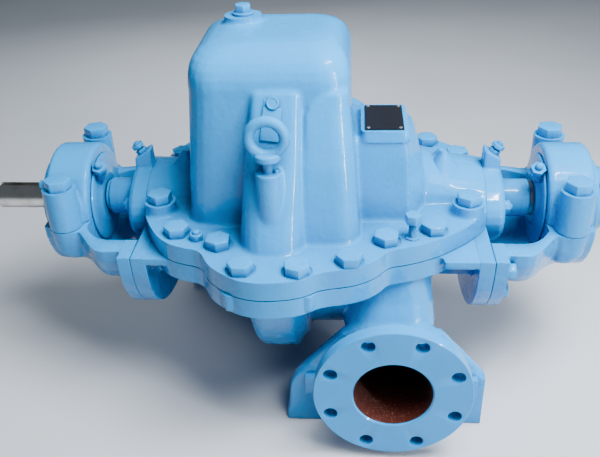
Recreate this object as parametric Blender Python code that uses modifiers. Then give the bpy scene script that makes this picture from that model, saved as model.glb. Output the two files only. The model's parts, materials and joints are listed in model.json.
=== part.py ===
"""Two-stage boiler feed pump with an axially split casing. Metres, +Z up.

The pump is drawn about the middle of its shaft: +X runs along the shaft, away from the
coupling end, -Y is the suction side and z = 0 is the parting plane. One empty then lifts
it onto its feet, with the middle of its outline over the origin. Most of the casing is
unchanged by half a turn about Z, so many pieces are made once and copied by a half turn.
"""

import math

import bmesh
import bpy
from mathutils import Matrix
from mathutils import Vector

# Driving dimensions
SHAFT_HEIGHT = 0.320
SEAT_GAP = 0.0003
GASKET = 0.0012
RUN_CLEARANCE = 0.0006

SHAFT_RADIUS = 0.024
SHAFT_START = -0.600
SHAFT_END = 0.487
SHAFT_PASSAGE = 0.030
COLLAR_RADIUS = 0.034
COLLAR_START = 0.340
COLLAR_END = 0.380

FLANGE_DEPTH = 0.032
FLANGE_END = 0.292
CASING_END = 0.2947
END_PLATE_INNER = 0.2715
END_PLATE_FRONT = 0.214
END_PLATE_REAR = 0.150
END_PLATE_DEPTH = 0.169
END_PLATE_SQUARENESS = 2.3
SHELF_START = 0.215
SHELF_DEPTH = 0.015
SHELF_CORE_FRONT = 0.148
SHELF_CORE_REAR = 0.120
SHELF_CORE_DEPTH = 0.070
BELLY_RADIUS = 0.271

NOZZLE_X = 0.135
NOZZLE_Z = -0.180
NOZZLE_FACE = 0.328
NOZZLE_FLANGE = 0.0238
SUCTION = {"bore": 0.0635, "neck": 0.0706, "rim": 0.127, "circle": 0.10795, "hole": 0.0111}
DISCHARGE = {"bore": 0.0508, "neck": 0.0585, "rim": 0.1143, "circle": 0.09525, "hole": 0.0095}
NOZZLE_HOLES = 8
SUCTION_BORE_DEPTH = 0.215
DISCHARGE_BORE_DEPTH = 0.215

FOOT_HALF_LENGTH = 0.179
FOOT_FRONT = 0.245
FOOT_BACK = 0.165
FOOT_PAD = 0.023
FOOT_HOLE = 0.011
FOOT_HOLE_X = 0.135
FOOT_HOLE_Y = 0.200
WEB_FRONT = 0.242
WEB_BACK = 0.222
PLUG_OFFSET = 0.127
PLUG_Z = -0.227
PLUG_SEAT = 0.246
PLUG_BOSS_RADIUS = 0.028
PLUG_HALF_WIDTH = 0.0185
PLUG_HEAD = 0.012

BRACKET_FACE = 0.295
BRACKET_FLANGE_END = 0.3165
HOUSING_START = 0.398
HOUSING_END = 0.475
HOUSING_X = 0.435
HOUSING_RADIUS = 0.118
CAP_RADIUS = 0.100
CAP_BOSS_Y = 0.111
CAP_BOSS_RADIUS = 0.025
CAP_BOSS_TOP = 0.075
INNER_COVER_RADIUS = 0.080
INNER_COVER_START = 0.386
OUTER_COVER_RADIUS = 0.074
OUTER_COVER_END = 0.488
CLOSED_COVER_END = 0.505

GLAND_HALF_WIDTH = 0.098
GLAND_HALF_HEIGHT = 0.067
GLAND_RIM_END = 0.320
GLAND_END = 0.328
GLAND_LUG_TOP = 0.099
GLAND_SLOPE = 31

HUMP_SHOULDER = 0.248
SHOULDER_SQUARENESS = 2.3
LEFT_SHOULDER_SQUARENESS = 3.6
HUMP_TOP = 0.322
VENT_X = -0.115
VENT_Y = 0.020
VENT_TOP = 0.331

BOLT_FLATS = 0.036
BOLT_HEAD = 0.016
FRONT_BOSS = (0.260, -0.112, 0.052)
REAR_BOSS = (0.265, 0.099, 0.0335)
BOSS_RADIUS = 0.0275

PAD_TOP = 0.182
EYE_X = -0.058
EYE_Y = -0.215
EYE_BOSS_TOP = 0.160
EYE_RING_Z = 0.2145
EYE_RING_RADIUS = 0.027
EYE_WIRE = 0.008
LUG_PLATE_LEAN = math.radians(6)
COLUMN_SLOPE = Vector((0, 0.0435, 0.100))

# Resolution of round and curved shapes
EDGE_STEPS = 3
CORNER_STEPS = 5
TURN_STEPS = 40
NOZZLE_STEPS = 48
DISC_SIDES = 32
HOLE_SIDES = 10
OVAL_STEPS = 32

# The edge of the parting flange: its right end, its suction-side bulge and its left end
RIGHT_END = ((0.292, -0.108), (0.264, -0.148), (0.233, -0.177), (0.203, -0.200))
BULGE = (
    (0.147, -0.226),
    (0.128, -0.231),
    (0.111, -0.252),
    (0.093, -0.269),
    (0.066, -0.283),
    (0.020, -0.295),
    (-0.003, -0.311),
    (-0.035, -0.321),
    (-0.087, -0.321),
    (-0.122, -0.303),
    (-0.155, -0.270),
    (-0.164, -0.249),
)
LEFT_END = (
    (-0.176, -0.237),
    (-0.201, -0.229),
    (-0.233, -0.212),
    (-0.271, -0.158),
    (-0.292, -0.108),
)

# The belly as (x, radius), and the brackets' sections as (x, front, rear, depth)
BELLY = (
    (-0.215, 0.000),
    (-0.215, 0.140),
    (-0.200, 0.160),
    (-0.110, 0.160),
    (-0.100, 0.235),
    (-0.086, BELLY_RADIUS),
    (-0.027, BELLY_RADIUS),
    (-0.007, 0.246),
    (-0.007, 0.226),
    (0.055, 0.226),
    (0.067, 0.200),
    (0.185, 0.200),
    (0.200, 0.165),
    (0.200, 0.000),
)
BRACKET_OUTSIDE = (
    (0.310, 0.190, 0.132, 0.121),
    (0.330, 0.194, 0.132, 0.123),
    (0.349, 0.195, 0.131, 0.126),
    (0.362, 0.190, 0.128, 0.129),
    (0.376, 0.174, 0.125, 0.131),
    (0.390, 0.154, 0.121, 0.130),
    (0.405, 0.134, 0.119, 0.127),
    (0.420, 0.122, 0.118, 0.121),
    (0.436, 0.118, 0.118, 0.117),
)
BRACKET_INSIDE = (
    (0.280, 0.157, 0.115, 0.106),
    (0.352, 0.157, 0.115, 0.106),
    (0.370, 0.151, 0.109, 0.104),
    (0.384, 0.138, 0.101, 0.099),
    (HOUSING_START, 0.116, 0.090, 0.090),
)

BLUE = (0.115, 0.395, 0.680, 1.0)


def clear_scene():
    for old in list(bpy.data.objects):
        bpy.data.objects.remove(old, do_unlink=True)


def new_collection(name):
    made = bpy.data.collections.new(name)
    bpy.context.scene.collection.children.link(made)
    return made


def finish(name, colour, roughness, metallic):
    """A plain surface: colour, roughness and how metallic it is."""
    made = bpy.data.materials.new(name)
    made.use_nodes = True
    shader = made.node_tree.nodes["Principled BSDF"]
    shader.inputs["Base Color"].default_value = colour
    shader.inputs["Roughness"].default_value = roughness
    shader.inputs["Metallic"].default_value = metallic
    made.diffuse_color = colour
    return made


clear_scene()
PUMP = new_collection("boiler_feed_pump")
CUTTERS = new_collection("cutters")

PUMP_CENTRE = bpy.data.objects.new("pump_centre", None)
PUMP_CENTRE.location = (-(SHAFT_START + CLOSED_COVER_END) / 2, 0, SHAFT_HEIGHT)
PUMP.objects.link(PUMP_CENTRE)
SHAFT_AXIS = bpy.data.objects.new("shaft_axis", None)
SHAFT_AXIS.parent = PUMP_CENTRE
PUMP.objects.link(SHAFT_AXIS)

# Loose shapes


def shape(bm):
    """A closed loose shape, kept with the cutters until a solid takes it in."""
    bmesh.ops.remove_doubles(bm, verts=bm.verts, dist=0.00001)
    bmesh.ops.recalc_face_normals(bm, faces=bm.faces)
    mesh = bpy.data.meshes.new("shape")
    bm.to_mesh(mesh)
    bm.free()
    made = bpy.data.objects.new("shape", mesh)
    made.hide_render = True
    made.display_type = "WIRE"
    CUTTERS.objects.link(made)
    return made


def evaluated_shape(source):
    """The shape that a curve or a modifier makes, as a plain mesh."""
    graph = bpy.context.evaluated_depsgraph_get()
    mesh = bpy.data.meshes.new_from_object(source.evaluated_get(graph))
    bm = bmesh.new()
    bm.from_mesh(mesh)
    bpy.data.objects.remove(source)
    bpy.data.meshes.remove(mesh)
    return shape(bm)


def moved(piece, matrix):
    piece.data.transform(matrix)
    return piece


def half_turn(piece):
    """A copy turned half a turn about the vertical through the pump's middle."""
    bm = bmesh.new()
    bm.from_mesh(piece.data)
    bm.transform(Matrix.Rotation(math.pi, 4, "Z"))
    return shape(bm)


def both_ways(piece):
    return [piece, half_turn(piece)]


def block(low, high):
    low = Vector(low)
    high = Vector(high)
    bm = bmesh.new()
    bmesh.ops.create_cube(bm, size=1)
    bm.transform(Matrix.Translation((low + high) / 2) @ Matrix.Diagonal((*(high - low), 1)))
    return shape(bm)


def cylinder(start, end, radius, end_radius=None, sides=32):
    """A round bar, or a cone when the end radius differs, from one point to another."""
    start = Vector(start)
    end = Vector(end)
    along = end - start
    bm = bmesh.new()
    bmesh.ops.create_cone(
        bm,
        cap_ends=True,
        segments=sides,
        radius1=radius,
        radius2=radius if end_radius is None else end_radius,
        depth=along.length,
    )
    turn = along.to_track_quat("Z", "Y").to_matrix().to_4x4()
    bm.transform(Matrix.Translation((start + end) / 2) @ turn)
    return shape(bm)


def hexagon(start, end, across_flats):
    """A hexagonal bar: a bolt head, a nut or a plug."""
    return cylinder(start, end, across_flats / math.sqrt(3), sides=6)


def plate(points, low, high, corners=()):
    """A flat plate: a closed curve through the points, sharp at the listed corners."""
    curve = bpy.data.curves.new("outline", "CURVE")
    curve.dimensions = "2D"
    curve.fill_mode = "BOTH"
    curve.extrude = (high - low) / 2
    curve.resolution_u = EDGE_STEPS
    spline = curve.splines.new("BEZIER")
    spline.bezier_points.add(len(points) - 1)
    spline.use_cyclic_u = True
    for index, point in enumerate(points):
        knot = spline.bezier_points[index]
        knot.co = (*point, 0)
        kind = "VECTOR" if index in corners else "AUTO"
        knot.handle_left_type = kind
        knot.handle_right_type = kind
    outline = bpy.data.objects.new("outline", curve)
    CUTTERS.objects.link(outline)
    return moved(evaluated_shape(outline), Matrix.Translation((0, 0, (low + high) / 2)))


def turned(profile, steps=TURN_STEPS):
    """A solid turned about the shaft from (x, radius) points."""
    bm = bmesh.new()
    corners = [bm.verts.new((x, 0, radius)) for x, radius in profile]
    for first, second in zip(corners, corners[1:]):
        bm.edges.new((first, second))
    mesh = bpy.data.meshes.new("profile")
    bm.to_mesh(mesh)
    bm.free()
    line = bpy.data.objects.new("profile", mesh)
    CUTTERS.objects.link(line)
    screw = line.modifiers.new("turn", "SCREW")
    screw.axis = "X"
    screw.steps = steps
    screw.render_steps = steps
    screw.use_merge_vertices = True
    screw.merge_threshold = 0.00001
    return evaluated_shape(line)


def ring(left, right, front, back, height, rounding, left_rounding=None):
    """A rounded rectangle, level at one height; its left corners can be rounded less."""
    other = rounding if left_rounding is None else left_rounding
    points = []
    centres = (
        (right - rounding, back - rounding, rounding),
        (left + other, back - other, other),
        (left + other, front + other, other),
        (right - rounding, front + rounding, rounding),
    )
    for quarter, (x, y, radius) in enumerate(centres):
        for step in range(CORNER_STEPS + 1):
            angle = (quarter + step / CORNER_STEPS) * math.pi / 2
            points.append((x + radius * math.cos(angle), y + radius * math.sin(angle), height))
    return points


def oval(x, front, rear, half_height):
    """An upright oval about the shaft, as wide as asked in front of it and behind it."""
    points = []
    for step in range(OVAL_STEPS):
        angle = 2 * math.pi * step / OVAL_STEPS
        width = rear if math.cos(angle) > 0 else front
        points.append((x, width * math.cos(angle), half_height * math.sin(angle)))
    return points


def loft(rings):
    """A closed skin through rings with equal numbers of points."""
    bm = bmesh.new()
    loops = []
    for points in rings:
        loops.append([bm.verts.new(point) for point in points])
    for lower, upper in zip(loops, loops[1:]):
        count = len(lower)
        for index in range(count):
            following = (index + 1) % count
            bm.faces.new((lower[index], lower[following], upper[following], upper[index]))
    bm.faces.new(loops[0])
    bm.faces.new(loops[-1])
    bmesh.ops.triangulate(bm, faces=bm.faces)
    return shape(bm)


# Named solids


def boolean(body, tool, operation):
    step = body.modifiers.new(operation.lower(), "BOOLEAN")
    step.operation = operation
    step.object = tool
    graph = bpy.context.evaluated_depsgraph_get()
    mesh = bpy.data.meshes.new_from_object(body.evaluated_get(graph))
    body.modifiers.clear()
    body.data = mesh
    bpy.data.objects.remove(tool)


def solid(name, material, pieces, cuts=(), parent=PUMP_CENTRE):
    """One named sub-part: its pieces joined into one body, less its cuts."""
    body = pieces[0]
    for piece in pieces[1:]:
        boolean(body, piece, "UNION")
    for cut in cuts:
        boolean(body, cut, "DIFFERENCE")
    body.name = name
    body.data.name = name
    body.data.materials.clear()
    body.data.materials.append(material)
    body.data.shade_smooth()
    body.data.set_sharp_from_angle(angle=math.radians(30))
    body.hide_render = False
    body.display_type = "TEXTURED"
    CUTTERS.objects.unlink(body)
    PUMP.objects.link(body)
    body.parent = parent
    return body


def above(height):
    """A cutter for everything above a height."""
    return block((-0.7, -0.5, height), (0.7, 0.5, height + 0.6))


def below(height):
    """A cutter for everything below a height."""
    return block((-0.7, -0.5, height - 0.6), (0.7, 0.5, height))


def passage(radius, start=-0.32, end=0.32):
    """A round bar along the shaft's axis."""
    return cylinder((start, 0, 0), (end, 0, 0), radius)


# The parting flange


def flange_edge():
    """The parting flange's outline: mirrored ends and a bulge copied by half a turn."""
    back_left = [(x, -y) for x, y in reversed(LEFT_END)]
    back_bulge = [(-x, -y) for x, y in BULGE]
    back_right = [(x, -y) for x, y in reversed(RIGHT_END)]
    return [*RIGHT_END, *BULGE, *LEFT_END, *back_left, *back_bulge, *back_right]


def parting_plate(low, high):
    edge = flange_edge()
    ends = [index for index, (x, y) in enumerate(edge) if abs(x) == FLANGE_END]
    return plate(edge, low, high, corners=ends)


# Lower casing

UPRIGHT = Matrix.Rotation(math.pi / 2, 4, "X")
ACROSS = Matrix(((0, 0, 1, 0), (1, 0, 0, 0), (0, 1, 0, 0), (0, 0, 0, 1)))


def end_plate(side, start, end):
    """The flange where a bearing bracket meets the casing, squarer than an oval and wider in front."""
    steps = 20
    power = 2 / END_PLATE_SQUARENESS
    rim = []
    for step in range(steps + 1):
        angle = math.pi * step / steps
        across = math.copysign(abs(math.cos(angle)) ** power, math.cos(angle))
        down = math.sin(angle) ** power
        width = END_PLATE_REAR if across > 0 else END_PLATE_FRONT
        rim.append((width * across, -END_PLATE_DEPTH * down))
    low, high = sorted((side * start, side * end))
    flat = plate(rim, low, high, corners=range(steps + 1))
    return moved(flat, ACROSS)


def shelf(side):
    """The ledge that carries an end plate out from the body, with its deeper core."""
    outer = side * (END_PLATE_INNER + 0.010)
    left, right = sorted((side * SHELF_START, outer))
    slab = block((left, 0.0005 - END_PLATE_FRONT, -SHELF_DEPTH), (right, END_PLATE_REAR - 0.0005, 0))
    left, right = sorted((side * (SHELF_START - 0.030), outer))
    core = block((left, -SHELF_CORE_FRONT, -SHELF_CORE_DEPTH), (right, SHELF_CORE_REAR, -0.002))
    return [slab, core]


def nozzle(sizes):
    """The suction branch: a riser under the parting flange, the neck and the flange."""
    neck = sizes["neck"]
    riser = loft(
        (
            ring(NOZZLE_X - 0.066, NOZZLE_X + 0.061, -0.214, -0.050, -0.020, 0.050),
            ring(NOZZLE_X - 0.072, NOZZLE_X + 0.068, -0.226, -0.050, -0.075, 0.055),
            ring(NOZZLE_X - 0.082, NOZZLE_X + 0.074, -0.248, -0.050, -0.130, 0.055),
            ring(NOZZLE_X - 0.052, NOZZLE_X + 0.052, -0.272, -0.050, -0.190, 0.045),
        )
    )
    flange_back = NOZZLE_FACE - NOZZLE_FLANGE
    pipe = turned(
        (
            (0.060, 0),
            (0.060, neck),
            (flange_back - 0.012, neck),
            (flange_back, neck + 0.010),
            (flange_back, sizes["rim"]),
            (NOZZLE_FACE, sizes["rim"]),
            (NOZZLE_FACE, 0),
        ),
        steps=NOZZLE_STEPS,
    )
    outward = Matrix.Rotation(-math.pi / 2, 4, "Z")
    return [riser, moved(pipe, Matrix.Translation((NOZZLE_X, 0, NOZZLE_Z)) @ outward)]


def nozzle_cuts(sizes, bore_depth):
    cuts = [
        cylinder(
            (NOZZLE_X, -NOZZLE_FACE - 0.010, NOZZLE_Z),
            (NOZZLE_X, bore_depth - NOZZLE_FACE, NOZZLE_Z),
            sizes["bore"],
            sides=NOZZLE_STEPS,
        )
    ]
    for index in range(NOZZLE_HOLES):
        angle = 2 * math.pi * (index + 0.5) / NOZZLE_HOLES
        x = NOZZLE_X + sizes["circle"] * math.cos(angle)
        z = NOZZLE_Z + sizes["circle"] * math.sin(angle)
        outside = (x, -NOZZLE_FACE - 0.010, z)
        inside = (x, -NOZZLE_FACE + NOZZLE_FLANGE + 0.008, z)
        cuts.append(cylinder(outside, inside, sizes["hole"], sides=HOLE_SIDES))
    return cuts


def foot():
    """One foot: a pad on the floor and a tapering rib up to the branch."""
    floor = -SHAFT_HEIGHT
    pad = block(
        (NOZZLE_X - FOOT_HALF_LENGTH, -FOOT_FRONT, floor),
        (NOZZLE_X + FOOT_HALF_LENGTH, -FOOT_BACK, floor + FOOT_PAD),
    )
    profile = [
        (FOOT_HALF_LENGTH - 0.002, floor + 0.010),
        (FOOT_HALF_LENGTH - 0.006, -0.240),
        (FOOT_HALF_LENGTH - 0.017, -0.216),
        (0.083, -0.126),
        (0.040, -0.110),
    ]
    outline = [(NOZZLE_X + x, z) for x, z in profile]
    outline += [(NOZZLE_X - x, z) for x, z in reversed(profile)]
    rib = plate(outline, WEB_BACK, WEB_FRONT, corners=range(len(outline)))
    moved(rib, UPRIGHT)
    core = loft(
        (
            ring(NOZZLE_X - 0.085, NOZZLE_X + 0.085, -0.238, -FOOT_BACK, floor + 0.010, 0.020),
            ring(NOZZLE_X - 0.060, NOZZLE_X + 0.060, -0.238, -0.100, NOZZLE_Z - 0.030, 0.020),
        )
    )
    return [pad, rib, core]


def foot_cuts():
    cuts = []
    for offset in (-FOOT_HOLE_X, FOOT_HOLE_X):
        x = NOZZLE_X + offset
        cuts.append(
            cylinder(
                (x, -FOOT_HOLE_Y, -SHAFT_HEIGHT - 0.010),
                (x, -FOOT_HOLE_Y, -SHAFT_HEIGHT + FOOT_PAD + 0.010),
                FOOT_HOLE,
                sides=HOLE_SIDES,
            )
        )
    return cuts


def plug_boss(side):
    """The low boss for a plug on the front foot's web."""
    x = NOZZLE_X + side * PLUG_OFFSET
    return cylinder((x, -WEB_FRONT + 0.006, PLUG_Z), (x, -PLUG_SEAT, PLUG_Z), PLUG_BOSS_RADIUS, sides=24)


def lower_casing(paint):
    top = -GASKET / 2 - SEAT_GAP
    pieces = [parting_plate(-FLANGE_DEPTH, top), turned(BELLY)]
    pieces.append(cylinder((-0.285, 0, 0), (0.285, 0, 0), 0.085, sides=DISC_SIDES))
    for side in (-1, 1):
        pieces.extend(shelf(side))
        pieces.append(end_plate(side, END_PLATE_INNER, CASING_END))
        pieces.append(plug_boss(side))
    pieces.extend(nozzle(SUCTION))
    pieces.extend(half_turned(nozzle(DISCHARGE)))
    front_foot = foot()
    pieces.extend(half_turn(piece) for piece in front_foot)
    pieces.extend(front_foot)
    cuts = [above(top), passage(SHAFT_PASSAGE)]
    cuts.extend(nozzle_cuts(SUCTION, SUCTION_BORE_DEPTH))
    cuts.extend(half_turned(nozzle_cuts(DISCHARGE, DISCHARGE_BORE_DEPTH)))
    front_holes = foot_cuts()
    cuts.extend(half_turn(cut) for cut in front_holes)
    cuts.extend(front_holes)
    return solid("lower_casing", paint, pieces, cuts)


def half_turned(pieces):
    """The pieces themselves, moved half a turn about the vertical."""
    return [moved(piece, Matrix.Rotation(math.pi, 4, "Z")) for piece in pieces]


# Upper casing


def inset(height, start, top, reach, squareness=SHOULDER_SQUARENESS):
    """How far a rounded shoulder has come in at a height."""
    part = min(max((height - start) / (top - start), 0), 1)
    return reach * (1 - (1 - part**squareness) ** (1 / squareness))


def hump():
    """The crossover between the two stages: upright walls under a rounded top."""
    rings = [
        ring(-0.208, 0.070, -0.167, 0.112, 0.010, 0.040),
        ring(-0.206, 0.068, -0.163, 0.107, 0.032, 0.040),
        ring(-0.197, 0.066, -0.157, 0.104, 0.149, 0.042),
        ring(-0.190, 0.064, -0.151, 0.100, HUMP_SHOULDER, 0.045),
    ]
    steps = 8
    for step in range(1, steps + 1):
        height = HUMP_SHOULDER + (HUMP_TOP - HUMP_SHOULDER) * math.sin(math.pi / 2 * step / steps)
        rings.append(
            ring(
                -0.190 + inset(height, HUMP_SHOULDER, HUMP_TOP, 0.096, LEFT_SHOULDER_SQUARENESS),
                0.064 - inset(height, HUMP_TOP - 0.060, HUMP_TOP, 0.046),
                -0.151 + inset(height, HUMP_TOP - 0.070, HUMP_TOP, 0.072),
                0.100 - inset(height, HUMP_TOP - 0.060, HUMP_TOP, 0.058),
                height,
                0.045 - inset(height, HUMP_SHOULDER, HUMP_TOP, 0.015),
            )
        )
    return loft(rings)


def front_column():
    """The first-stage volute on the suction side, leaning back onto the hump."""
    low = Vector((0, -0.200, 0.158))
    top = low + COLUMN_SLOPE
    return loft(
        (
            ring(-0.112, -0.004, -0.260, -0.060, 0.010, 0.050),
            ring(-0.110, -0.005, -0.256, -0.060, 0.032, 0.048),
            ring(-0.106, -0.006, -0.229, -0.060, 0.092, 0.040),
            ring(-0.099, -0.008, low.y, -0.060, low.z, 0.024),
            ring(-0.086, -0.012, top.y, -0.060, top.z, 0.009),
            ring(-0.083, -0.015, top.y + 0.004, -0.060, top.z + 0.004, 0.008),
        )
    )


def front_lobe():
    """The lobe beside the front column, with a sharp left edge that turns over at its top."""
    return loft(
        (
            ring(-0.009, 0.082, -0.225, -0.040, 0.010, 0.034, 0.005),
            ring(-0.008, 0.080, -0.221, -0.040, 0.032, 0.034, 0.005),
            ring(-0.007, 0.072, -0.190, -0.040, 0.150, 0.032, 0.005),
            ring(-0.005, 0.065, -0.163, -0.040, 0.228, 0.030, 0.005),
            ring(0.001, 0.064, -0.159, -0.040, 0.239, 0.028, 0.005),
            ring(0.011, 0.063, -0.1555, -0.040, 0.249, 0.026, 0.005),
            ring(0.022, 0.062, -0.1535, -0.040, 0.255, 0.024, 0.005),
            ring(0.032, 0.060, -0.1520, -0.040, 0.258, 0.022, 0.005),
        )
    )


def back_volute():
    """The second-stage volute behind the hump, kept low under its shoulder."""
    return loft(
        (
            ring(-0.030, 0.115, 0.060, 0.262, 0.010, 0.034),
            ring(-0.028, 0.113, 0.060, 0.257, 0.032, 0.034),
            ring(-0.014, 0.100, 0.060, 0.205, 0.100, 0.032),
            ring(-0.010, 0.080, 0.060, 0.160, 0.132, 0.030),
        )
    )


def volute_edge(height, front, front_edge, right, back):
    """The low volute's outline at a height: flat in front, cut back on the slant beside it."""
    slant_end = front + 0.5 * (0.010 - front)
    return (
        (0.020, back, height),
        (0.020, front, height),
        (front_edge, front, height),
        (right, slant_end, height),
        (right, back - 0.040, height),
        (right - 0.010, back - 0.018, height),
        (right - 0.034, back, height),
    )


def end_volute():
    """The low volute beside the hump that carries the plate pad."""
    return loft(
        (
            volute_edge(0.010, -0.147, 0.163, 0.203, 0.082),
            volute_edge(0.032, -0.143, 0.161, 0.198, 0.076),
            volute_edge(0.100, -0.132, 0.158, 0.185, 0.060),
            volute_edge(0.142, -0.125, 0.156, 0.1745, 0.045),
            volute_edge(0.160, -0.1215, 0.153, 0.167, 0.035),
            volute_edge(0.172, -0.116, 0.146, 0.157, 0.020),
        )
    )


def plate_pad():
    """The flat pad under the rating plate."""
    return loft(
        (
            ring(0.077, 0.160, -0.123, -0.001, 0.165, 0.012),
            ring(0.082, 0.154, -0.118, -0.007, PAD_TOP, 0.008),
        )
    )


def stuffing_boxes():
    """The seal housings: round beside the volutes and as oval as the glands at their ends."""
    mouth = (GLAND_HALF_WIDTH, GLAND_HALF_HEIGHT)
    left = ((-0.180, 0.080, 0.070), (-0.240, 0.086, 0.069), (-CASING_END, *mouth))
    right = ((0.100, 0.094, 0.094), (0.190, 0.094, 0.094), (0.235, 0.092, 0.080), (CASING_END, *mouth))
    return [loft([oval(x, width, width, height) for x, width, height in box]) for box in (left, right)]


def stiffening_ridges():
    """A small four-sided ridge on top of each stuffing box."""
    return [
        cylinder((0.220, -0.009, 0.060), (0.220, -0.009, 0.102), 0.038, 0.005, sides=4),
        cylinder((-0.236, -0.005, 0.050), (-0.236, -0.005, 0.097), 0.036, 0.005, sides=4),
    ]


def casing_bosses():
    pieces = []
    for x, y, top in (FRONT_BOSS, REAR_BOSS):
        for side in (-1, 1):
            foot_point = (side * x, y, 0.010)
            head = (side * x, y, top)
            pieces.append(cylinder(foot_point, head, BOSS_RADIUS, BOSS_RADIUS - 0.001, sides=24))
    pieces.append(cylinder((VENT_X, VENT_Y, 0.290), (VENT_X, VENT_Y, VENT_TOP), 0.040, 0.030))
    pieces.append(cylinder((EYE_X, EYE_Y, 0.070), (EYE_X, EYE_Y, EYE_BOSS_TOP), 0.021, 0.020, sides=24))
    return pieces


def upper_casing(paint):
    bottom = GASKET / 2 + SEAT_GAP
    pieces = [parting_plate(bottom, FLANGE_DEPTH), *stuffing_boxes(), hump()]
    pieces.extend((front_column(), front_lobe(), back_volute(), plate_pad()))
    pieces.extend(both_ways(end_volute()))
    pieces.extend(stiffening_ridges())
    pieces.extend(casing_bosses())
    return solid("upper_casing", paint, pieces, [below(bottom), passage(SHAFT_PASSAGE)])


def casing_gaskets(material):
    """The sheet between the halves, in two pieces parted by the shaft's passage."""
    for name, low, high in (("front_gasket", -SHAFT_PASSAGE, 0.5), ("rear_gasket", -0.5, SHAFT_PASSAGE)):
        rest = block((-0.4, low, -0.010), (0.4, high, 0.010))
        solid(name, material, [parting_plate(-GASKET / 2, GASKET / 2)], [rest])


# Lifting eye, plugs and plates on the upper casing


def lifting_eye(paint):
    bpy.ops.mesh.primitive_torus_add(
        major_radius=EYE_RING_RADIUS,
        minor_radius=EYE_WIRE,
        major_segments=24,
        minor_segments=10,
    )
    made = bpy.context.object
    bm = bmesh.new()
    bm.from_mesh(made.data)
    bpy.data.objects.remove(made)
    bm.transform(Matrix.Translation((EYE_X, EYE_Y, EYE_RING_Z)) @ UPRIGHT)
    seat = EYE_BOSS_TOP + SEAT_GAP
    neck = EYE_RING_Z - EYE_RING_RADIUS
    pieces = [
        shape(bm),
        cylinder((EYE_X, EYE_Y, seat), (EYE_X, EYE_Y, neck), 0.0075, sides=16),
        cylinder((EYE_X, EYE_Y, neck - 0.011), (EYE_X, EYE_Y, neck - 0.001), 0.014, sides=24),
    ]
    return solid("lifting_eye", paint, pieces)


def rating_plate(material):
    low = (0.087, -0.113, PAD_TOP + SEAT_GAP)
    high = (0.149, -0.012, PAD_TOP + SEAT_GAP + 0.0018)
    return solid("rating_plate", material, [block(low, high)])


def lug_plate(paint):
    """The small leaning plate under a stud, on the sloping face behind the lifting eye."""
    foot_point = Vector((-0.062, -0.200, 0.158))
    slope = COLUMN_SLOPE.normalized()
    outward = Vector((0, -slope.z, slope.y))
    frame = Matrix((Vector((1, 0, 0)), slope, outward)).transposed().to_4x4()
    frame.translation = foot_point + outward * SEAT_GAP
    frame @= Matrix.Rotation(-LUG_PLATE_LEAN, 4, "Z")
    flat = block((-0.014, 0.041, 0.0), (0.014, 0.096, 0.003))
    stud = cylinder((0.0, 0.098, 0.0), (0.0, 0.098, 0.006), 0.010, sides=20)
    return solid("lug_plate", paint, [moved(flat, frame), moved(stud, frame)])


def vent_plug(paint):
    seat = VENT_TOP + SEAT_GAP
    pieces = [
        cylinder((VENT_X, VENT_Y, seat), (VENT_X, VENT_Y, seat + 0.005), 0.017, sides=24),
        hexagon((VENT_X, VENT_Y, seat + 0.004), (VENT_X, VENT_Y, seat + 0.017), 0.024),
    ]
    return solid("vent_plug", paint, pieces)


def jack_screw(paint):
    x = 0.163
    y = -0.193
    seat = FLANGE_DEPTH + SEAT_GAP
    pieces = [
        cylinder((x, y, seat), (x, y, 0.062), 0.006, sides=16),
        hexagon((x, y, 0.061), (x, y, 0.076), 0.023),
    ]
    return solid("jack_screw", paint, pieces)


def dowel_nut(name, x, y, paint):
    seat = FLANGE_DEPTH + SEAT_GAP
    pieces = [
        hexagon((x, y, seat), (x, y, seat + 0.012), 0.020),
        cylinder((x, y, seat + 0.011), (x, y, seat + 0.017), 0.0065, sides=16),
    ]
    return solid(name, paint, pieces)


def drain_plug(side, paint):
    x = NOZZLE_X + side * PLUG_OFFSET
    seat = -PLUG_SEAT - SEAT_GAP
    half = PLUG_HALF_WIDTH
    head = block((x - half, seat - PLUG_HEAD, PLUG_Z - half), (x + half, seat, PLUG_Z + half))
    return solid(sided(side, "drain_plug"), paint, [head])


# Bearings


def sided(side, name):
    return ("left_" if side < 0 else "right_") + name


def bracket_lug(side):
    """The lug under a cap bolt, tapering to a rounded foot."""
    sections = (
        (0.400, 0.460, -0.137, 0.001, 0.024),
        (0.401, 0.459, -0.136, -0.030, 0.024),
        (0.405, 0.452, -0.132, -0.050, 0.020),
        (0.410, 0.444, -0.126, -0.059, 0.014),
    )
    rings = []
    for inner, outer, front, height, rounding in sections:
        left, right = sorted((side * inner, side * outer))
        rings.append(ring(left, right, front, -0.075, height, rounding))
    return loft(rings)


def bearing_bracket(side, paint):
    outside = loft([oval(side * x, *sizes) for x, *sizes in BRACKET_OUTSIDE])
    inside = loft([oval(side * x, *sizes) for x, *sizes in BRACKET_INSIDE])
    pieces = [
        outside,
        end_plate(side, BRACKET_FACE, BRACKET_FLANGE_END),
        passage(HOUSING_RADIUS, side * HOUSING_START, side * HOUSING_END),
    ]
    pieces.extend((bracket_lug(side), half_turn(bracket_lug(-side))))
    bore = SHAFT_RADIUS + RUN_CLEARANCE
    cuts = [above(-SEAT_GAP / 2), inside, passage(bore, side * 0.390, side * 0.490)]
    return solid(sided(side, "bearing_bracket"), paint, pieces, cuts)


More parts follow.
